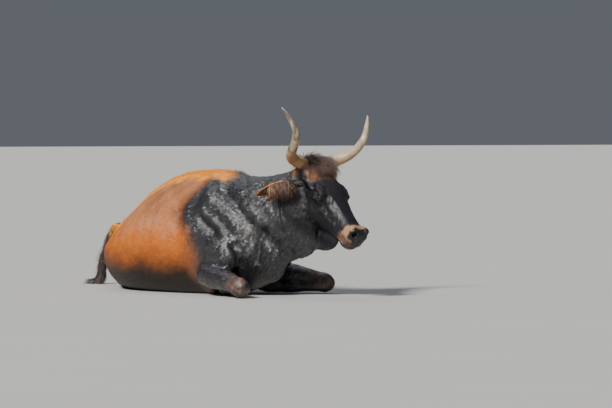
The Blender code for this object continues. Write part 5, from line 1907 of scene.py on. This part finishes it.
class Graph:
    """The nodes of one finish."""

    def __init__(self, name: str) -> None:
        """Starts a finish with one Principled shader."""
        self.material = bpy.data.materials.new(name)
        self.material.use_nodes = True
        self.tree = self.material.node_tree
        self.shader = self.tree.nodes["Principled BSDF"]

    def node(self, kind: str, settings: dict, sockets: dict, output: str | int = 0) -> Signal:
        """Adds a node.

        Args:
            kind: the node's type.
            settings: its own settings, set first; "stops" are a ramp's places and colours.
            sockets: values or signals for its inputs, by name or number.
            output: which output to return.

        Returns:
            The output as a signal.
        """
        made = self.tree.nodes.new(kind)
        for key, value in settings.items():
            if key == "stops":
                self.stops(made, value)
            else:
                setattr(made, key, value)
        for key, value in sockets.items():
            self.feed(made.inputs[key], value)
        return Signal(self, made.outputs[output])

    def stops(self, ramp: bpy.types.Node, stops: Sequence[tuple[float, tuple]]) -> None:
        """Sets a ramp's places and colours."""
        elements = ramp.color_ramp.elements
        while len(elements) < len(stops):
            elements.new(0.5)
        for element, (place, colour) in zip(elements, stops):
            element.position = place
            element.color = (*colour, 1.0)

    def feed(self, socket: bpy.types.NodeSocket, value: object) -> None:
        """Links a signal to a socket, or sets its value."""
        if isinstance(value, Signal):
            self.tree.links.new(value.socket, socket)
        elif socket.type == "RGBA" and len(value) == 3:
            socket.default_value = (*value, 1.0)
        else:
            socket.default_value = value

    def maths(self, operation: str, a: Value, b: Value, clamp: bool = False) -> Signal:
        """A Math node on two values."""
        settings = {"operation": operation, "use_clamp": clamp}
        return self.node("ShaderNodeMath", settings, {0: a, 1: b})

    def mix(self, a: Colour, b: Colour, share: Value, blend: str = "MIX") -> Signal:
        """Goes from colour a to colour b by the share."""
        settings = {"data_type": "RGBA", "blend_type": blend, "clamp_factor": True}
        return self.node("ShaderNodeMix", settings, {0: share, 6: a, 7: b}, 2)

    def mark(self, name: str) -> Signal:
        """One of the values kept on the mesh."""
        return self.node("ShaderNodeAttribute", {"attribute_name": name}, {}, "Fac")

    def place(self) -> Signal:
        """Where the surface is on the object."""
        return self.node("ShaderNodeTexCoord", {}, {}, "Object")

    def noise(self, scale: float, detail: float = 3.0, stretch: Point = (1, 1, 1)) -> Signal:
        """Soft random variation about 0.5, its size 1 / scale metres."""
        where = self.node("ShaderNodeMapping", {}, {"Vector": self.place(), "Scale": stretch})
        sockets = {"Vector": where, "Scale": scale, "Detail": detail, "Roughness": 0.55}
        return self.node("ShaderNodeTexNoise", {}, sockets, "Fac")

    def strands(self, scale: float) -> Signal:
        """Fine lines that follow the lie of the hair, 1 / scale metres apart."""
        sockets = {"X": self.mark("around"), "Y": self.mark("run") * 0.1, "Z": 0.0}
        where = self.node("ShaderNodeCombineXYZ", {}, sockets)
        fine = {"Vector": where, "Scale": scale, "Detail": 3.0, "Roughness": 0.6, "Distortion": 0.3}
        return self.node("ShaderNodeTexNoise", {}, fine, "Fac")

    def crimps(self) -> Signal:
        """Soft crinkles of the hide, strongest on neck, shoulders and face."""
        small, large = self.noise(55.0, 3.0, (1, 1, 0.6)), self.noise(22.0, 2.0, (1, 1, 0.6))
        return (small + large * 1.4) * self.mark("crimp")

    def ramp(self, value: Value, stops: Sequence[tuple[float, tuple]]) -> Signal:
        """A colour ramp."""
        return self.node("ShaderNodeValToRGB", {"stops": stops}, {"Fac": value}, "Color")

    def relief(self, height: Value, distance: float, strength: float = 1.0) -> Signal:
        """Bumps of that height in metres."""
        return self.node("ShaderNodeBump", {}, {"Height": height, "Distance": distance, "Strength": strength})

    def finish(self, sockets: dict[str, object]) -> bpy.types.Material:
        """Feeds the shader and returns the material."""
        for key, value in sockets.items():
            self.feed(self.shader.inputs[key], value)
        return self.material


@dataclass(frozen=True)
class CoatFinish:
    """The hide and its hair, black before and red-brown behind."""

    black: Point = (0.0065, 0.0065, 0.0085)
    brown: Point = (0.5, 0.125, 0.01)
    stripe: Point = (1.0, 0.37, 0.008)
    # dark brown low on the flank and in the mottled patch, low down partly the coat's own and partly painted
    # shade
    shade: Point = (0.016, 0.008, 0.004)
    # pale pinkish brown, a painted sheen on the upper brown flank
    tan: Point = (0.4, 0.17, 0.075)
    buff: Point = (0.33, 0.185, 0.105)
    bare: Point = (0.012, 0.01, 0.012)
    rust: Point = (0.145, 0.072, 0.052)
    gold: Point = (0.62, 0.21, 0.035)
    # painted shade inside the ear's cup
    cup: Point = (0.035, 0.018, 0.014)
    # painted shade inside the nostrils
    hollow: Point = (0.012, 0.009, 0.009)

    def colour(self, g: Graph, hair: Value) -> Signal:
        """The markings, broken up by the hair's own variation.

        Args:
            g: the nodes of the finish.
            hair: how light each hair is.

        Returns:
            The colour.
        """
        soft = g.noise(9.0)
        fine = g.noise(60.0, 4.0, (1, 1, 0.5))
        streaks = fine * 1.4 - 0.4
        brown = g.mix(self.brown, scaled(self.brown, 0.55), (fine * 1.6 - 0.45) * 0.8)
        # painted sheen on the upper flank
        brown = g.mix(brown, self.tan, g.mark("tan") * (soft * 1.5 + 0.1))
        # darker low on the flank and in a mottled patch behind the shoulder; low down this is partly painted
        # shade
        brown = g.mix(brown, self.shade, g.mark("shade") * 1.15)
        layers = (
            (brown, g.mark("brown")),
            (g.mix(self.stripe, scaled(self.stripe, 0.6), streaks), g.mark("stripe") * (fine * 0.7 + 0.75)),
            (g.mix(self.rust, scaled(self.rust, 2.4), streaks), g.mark("rust") * (fine * 0.8 + 0.5)),
            (self.gold, g.mark("gold") * (fine * 0.8 + 0.5)),
            # painted shade in the ear's cup
            (self.cup, g.mark("cup")),
            (self.buff, g.mark("buff") * (fine * 0.6 + 0.7)),
            (self.bare, g.mark("bare")),
            # painted shade in the nostrils
            (self.hollow, g.mark("hollow")),
        )
        base = g.mix(self.black, scaled(self.black, 2.2), fine)
        for colour, share in layers:
            base = g.mix(base, colour, share)
        return g.mix(base, hair, 0.55, "SOFT_LIGHT")

    def skin(self) -> bpy.types.Material:
        """The hide under the tufts."""
        g = Graph("hide")
        colour = self.colour(g, g.noise(400.0, 2.0))
        bare = g.mark("bare")
        pores = g.noise(260.0, 3.0)
        grain = g.strands(420.0)
        sockets = {"Vector": g.place(), "Scale": 230.0}
        cells = g.node("ShaderNodeTexVoronoi", {"feature": "DISTANCE_TO_EDGE"}, sockets)
        height = grain * (1 - bare) * 0.7 + (cells * 0.8 + pores * 0.3) * bare + g.crimps()
        rough = 0.36 + (grain - 0.5) * 0.25 - bare * 0.1 - g.mark("rim") * 0.14 + g.mark("brown") * 0.12
        return g.finish(
            {
                "Base Color": colour,
                "Roughness": rough,
                "Normal": g.relief(height, 0.0022, 0.9),
                "Specular IOR Level": 0.35,
            }
        )

    def hair(self) -> bpy.types.Material:
        """The tufts, darker at the root, with strands along them."""
        g = Graph("hair")
        vary, tip = g.mark("vary"), g.mark("tip")
        lit = g.mix((0.16, 0.16, 0.16), (0.8, 0.8, 0.8), vary * 0.6 + tip * 0.4)
        colour = self.colour(g, lit)
        rough = 0.31 + (vary - 0.5) * 0.12 + g.mark("brown") * 0.22 + g.mark("face") * 0.16
        height = g.noise(900.0, 2.0, (1, 1, 0.3)) * 0.2 + g.crimps()
        return g.finish(
            {
                "Base Color": colour,
                "Roughness": rough,
                "Normal": g.relief(height, 0.0022, 0.9),
                "Specular IOR Level": 0.45,
                "Coat Weight": (1 - g.mark("brown")) * (0.95 - g.mark("face") * 0.9),
                "Coat Roughness": 0.36,
                "Coat IOR": 1.85,
            }
        )


@dataclass(frozen=True)
class HornFinish:
    """Polished horn: yellow and streaked at the root, cream along the shaft, grey to pale at the tip, with
    painted shade browning its down-facing side near the root and a painted highlight paling its up-facing
    side.
    """

    root: Point = (0.46, 0.25, 0.065)
    shaft: Point = (0.42, 0.33, 0.21)
    grey: Point = (0.09, 0.07, 0.058)
    tip: Point = (0.3, 0.25, 0.2)
    underside: Point = (0.42, 0.2, 0.065)
    painted_top_light: Point = (0.66, 0.61, 0.52)

    def material(self, name: str, streaks: float, warmth: float) -> bpy.types.Material:
        """One horn's material.

        Args:
            name: its name.
            streaks: how much grey runs along the shaft.
            warmth: how far the root's yellow and the painted shade that browns the underside show.

        Returns:
            The material.
        """
        g = Graph(name)
        along, under = g.mark("along"), g.mark("under")
        fibre = g.noise(55.0, 5.0, (1.0, 1.0, 0.12))
        cloud = g.noise(22.0, 3.0)
        stops = [(0.0, self.root), (0.26, self.root), (0.46, self.shaft), (0.8, self.shaft), (1.0, self.tip)]
        base = g.ramp(along + (cloud - 0.5) * 0.16, stops)
        base = g.mix(self.shaft, base, warmth)
        grey = (fibre * 3.6 - 1.15 + (cloud - 0.5) * 1.8).clamped() * streaks
        base = g.mix(base, self.grey, grey * (along * 2.2 + 0.06).clamped())
        # painted shade: the down-facing side near the root is made browner and darker
        base = g.mix(base, self.underside, ((under * 2.6 - 1.45) * warmth).clamped() * (1 - along) * 0.75)
        # painted highlight: the up-facing side of the horn is made paler
        base = g.mix(base, self.painted_top_light, ((0.42 - under) * 1.4).clamped() * 0.4)
        lines = g.noise(240.0, 2.0, (1.0, 1.0, 0.1))
        return g.finish(
            {
                "Base Color": base,
                "Roughness": 0.3 + fibre * 0.22,
                "Normal": g.relief(lines, 0.0007, 0.6),
                "Coat Weight": 0.12,
                "Coat Roughness": 0.25,
            }
        )


@dataclass(frozen=True)
class HoofFinish:
    """Dark horn with growth bands and dried earth at the edge."""

    wall: Point = (0.035, 0.03, 0.027)
    worn: Point = (0.16, 0.12, 0.085)

    def material(self) -> bpy.types.Material:
        """The claws' material."""
        g = Graph("hoof_horn")
        along = g.mark("along")
        grain = g.noise(90.0, 4.0, (1.0, 1.0, 0.3))
        bands = g.node("ShaderNodeMath", {"operation": "SINE"}, {0: along * 60.0 + grain * 5.0})
        base = g.mix(self.wall, self.worn, (along * 0.8 + grain * 0.9 - 0.55).clamped())
        height, rough = bands * 0.12 + grain, 0.42 + grain * 0.3
        return g.finish({"Base Color": base, "Roughness": rough, "Normal": g.relief(height, 0.0009)})


@dataclass(frozen=True)
class EyeFinish:
    """A dark brown eye with a level pupil, wet."""

    iris: Point = (0.024, 0.01, 0.004)
    edge: Point = (0.006, 0.004, 0.003)
    pupil: Point = (0.001, 0.001, 0.002)
    white: Point = (0.045, 0.028, 0.022)

    def material(self) -> bpy.types.Material:
        """The eyeball's material."""
        g = Graph("eye_wet")
        rays = g.noise(900.0, 3.0)
        angle = g.mark("iris")
        iris = g.mix(self.iris, scaled(self.iris, 2.4), rays * 1.4 - 0.4)
        iris = g.mix(iris, self.edge, ((angle - 0.8) * 6.0).clamped())
        base = g.mix(iris, self.white, ((angle - 1.04) * 14.0).clamped())
        base = g.mix(self.pupil, base, ((g.mark("pupil") - 0.9) * 6.0).clamped())
        rough = 0.06 + rays * 0.03
        return g.finish({"Base Color": base, "Roughness": rough, "Coat Weight": 1.0, "Coat Roughness": 0.02})


@dataclass
class Studio:
    """A plain pale floor, soft lights and a camera at the photograph's angle."""

    shift: Array
    azimuth: float = math.radians(55)
    distance: float = 18.0
    height: float = 0.91
    sensor: float = 36.0
    # in the photograph's pixels
    focal: float = 3132.0
    frame_width: float = 612.0
    frame_height: float = 408.0
    origin_column: float = 180.0
    horizon_row: float = 132.0

    def axes(self) -> tuple[Vector, Vector]:
        """Towards the camera and to the camera's right, level."""
        back = Vector((math.sin(self.azimuth), -math.cos(self.azimuth), 0))
        return back, Vector((math.cos(self.azimuth), math.sin(self.azimuth), 0))

    def camera(self) -> None:
        """Sets the camera."""
        back, right = self.axes()
        data = bpy.data.cameras.new("camera")
        data.sensor_width = self.sensor
        data.lens = self.focal / self.frame_width * self.sensor
        data.clip_end = 400.0
        obj = placed("camera", data)
        obj.location = back * self.distance + Vector((0, 0, self.height)) + Vector(self.shift)
        aside, above = self.frame_width / 2 - self.origin_column, self.horizon_row - self.frame_height / 2
        aim = -back * self.focal + right * aside + Vector((0, 0, above))
        obj.rotation_euler = aim.to_track_quat("-Z", "Y").to_euler()
        bpy.context.scene.camera = obj

    def floor(self) -> None:
        """A wide pale floor."""
        mesh = bpy.data.meshes.new("floor")
        far = 150.0
        mesh.from_pydata([(-far, -far, 0), (far, -far, 0), (far, far, 0), (-far, far, 0)], [], [[0, 1, 2, 3]])
        obj = placed("floor", mesh)
        g = Graph("floor_pale")
        tone = g.mix((0.37, 0.37, 0.36), (0.41, 0.41, 0.4), g.noise(0.8))
        mesh.materials.append(g.finish({"Base Color": tone, "Roughness": 0.85}))

    def light(self, name: str, way: Vector, softness: float, power: float, colour: Point) -> None:
        """A soft light from far away.

        Args:
            name: its name.
            way: the direction in which it stands.
            softness: the angle across it in degrees.
            power: its strength.
            colour: its colour.
        """
        data = bpy.data.lights.new(name, "SUN")
        data.angle = math.radians(softness)
        data.energy = power
        data.color = colour
        obj = placed(name, data)
        obj.rotation_euler = (-way).to_track_quat("-Z", "Y").to_euler()

    def lights(self) -> None:
        """Key from the left, weak fill from the right, and a soft light from over the back."""
        back, right = self.axes()
        up = Vector((0, 0, 1))
        self.light("key", back * 0.94 - right * 0.58 + up * 0.76, 11.0, 7.0, (1.0, 0.965, 0.91))
        self.light("fill", back * 0.9 + right * 0.8 + up * 0.45, 60.0, 0.22, (0.86, 0.92, 1.0))
        self.light("over", -back * 0.55 - right * 0.3 + up * 1.2, 60.0, 1.0, (0.88, 0.93, 1.0))
        world = bpy.data.worlds.new("studio")
        world.use_nodes = True
        sky = world.node_tree.nodes["Background"]
        sky.inputs["Color"].default_value = (0.8, 0.87, 1.0, 1.0)
        sky.inputs["Strength"].default_value = 0.15
        bpy.context.scene.world = world

    def build(self) -> None:
        """Makes all of it."""
        self.camera()
        self.floor()
        self.lights()


def measured_shift(head: Head) -> Array:
    """From the measured frame to the frame of the solids, read at the right eye."""
    low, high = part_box("eye_right")
    x, y, z = head.eye
    return np.array((low + high) / 2 - head.place() @ Vector((x, -y, z)))


def main() -> None:
    """Builds the animal piece by piece."""
    logging.basicConfig(level=logging.INFO, format="%(name)s: %(message)s")
    trunk, head, tail = Trunk(), Head(), Tail()
    shift = measured_shift(head)
    log.info("shift %s", np.round(shift, 5).tolist())
    Studio(shift).build()
    ears = (Ear(head, 1), Ear(head, -1))
    lie = Lie(body_zones(head, tail))
    coat_finish = CoatFinish()
    skin = Skin(trunk, head, tail, ears, lie, Markings(trunk, head), shift)
    skin.model()
    skin.build(coat_finish.skin())
    coat = Coat(skin, lie, coat_finish.hair(), shift)
    coat.short_hair()
    coat.crest()
    coat.forelock()
    for ear in ears:
        coat.ear_hair(ear)
    coat.switch(tail)
    log.info("coat: %d triangles", coat.total)
    horns = HornFinish()
    Horn(head, -1).build(shift, horns.material("horn_right", 1.0, 1.0))
    Horn(head, 1).build(shift, horns.material("horn_left", 0.55, 0.6))
    hoof_finish = HoofFinish().material()
    for hoof in HOOVES:
        hoof.build(shift, hoof_finish)
    eye_finish = EyeFinish().material()
    for side in (-1, 1):
        Eye(head, side).build(shift, eye_finish)


if __name__ == "__main__":
    main()
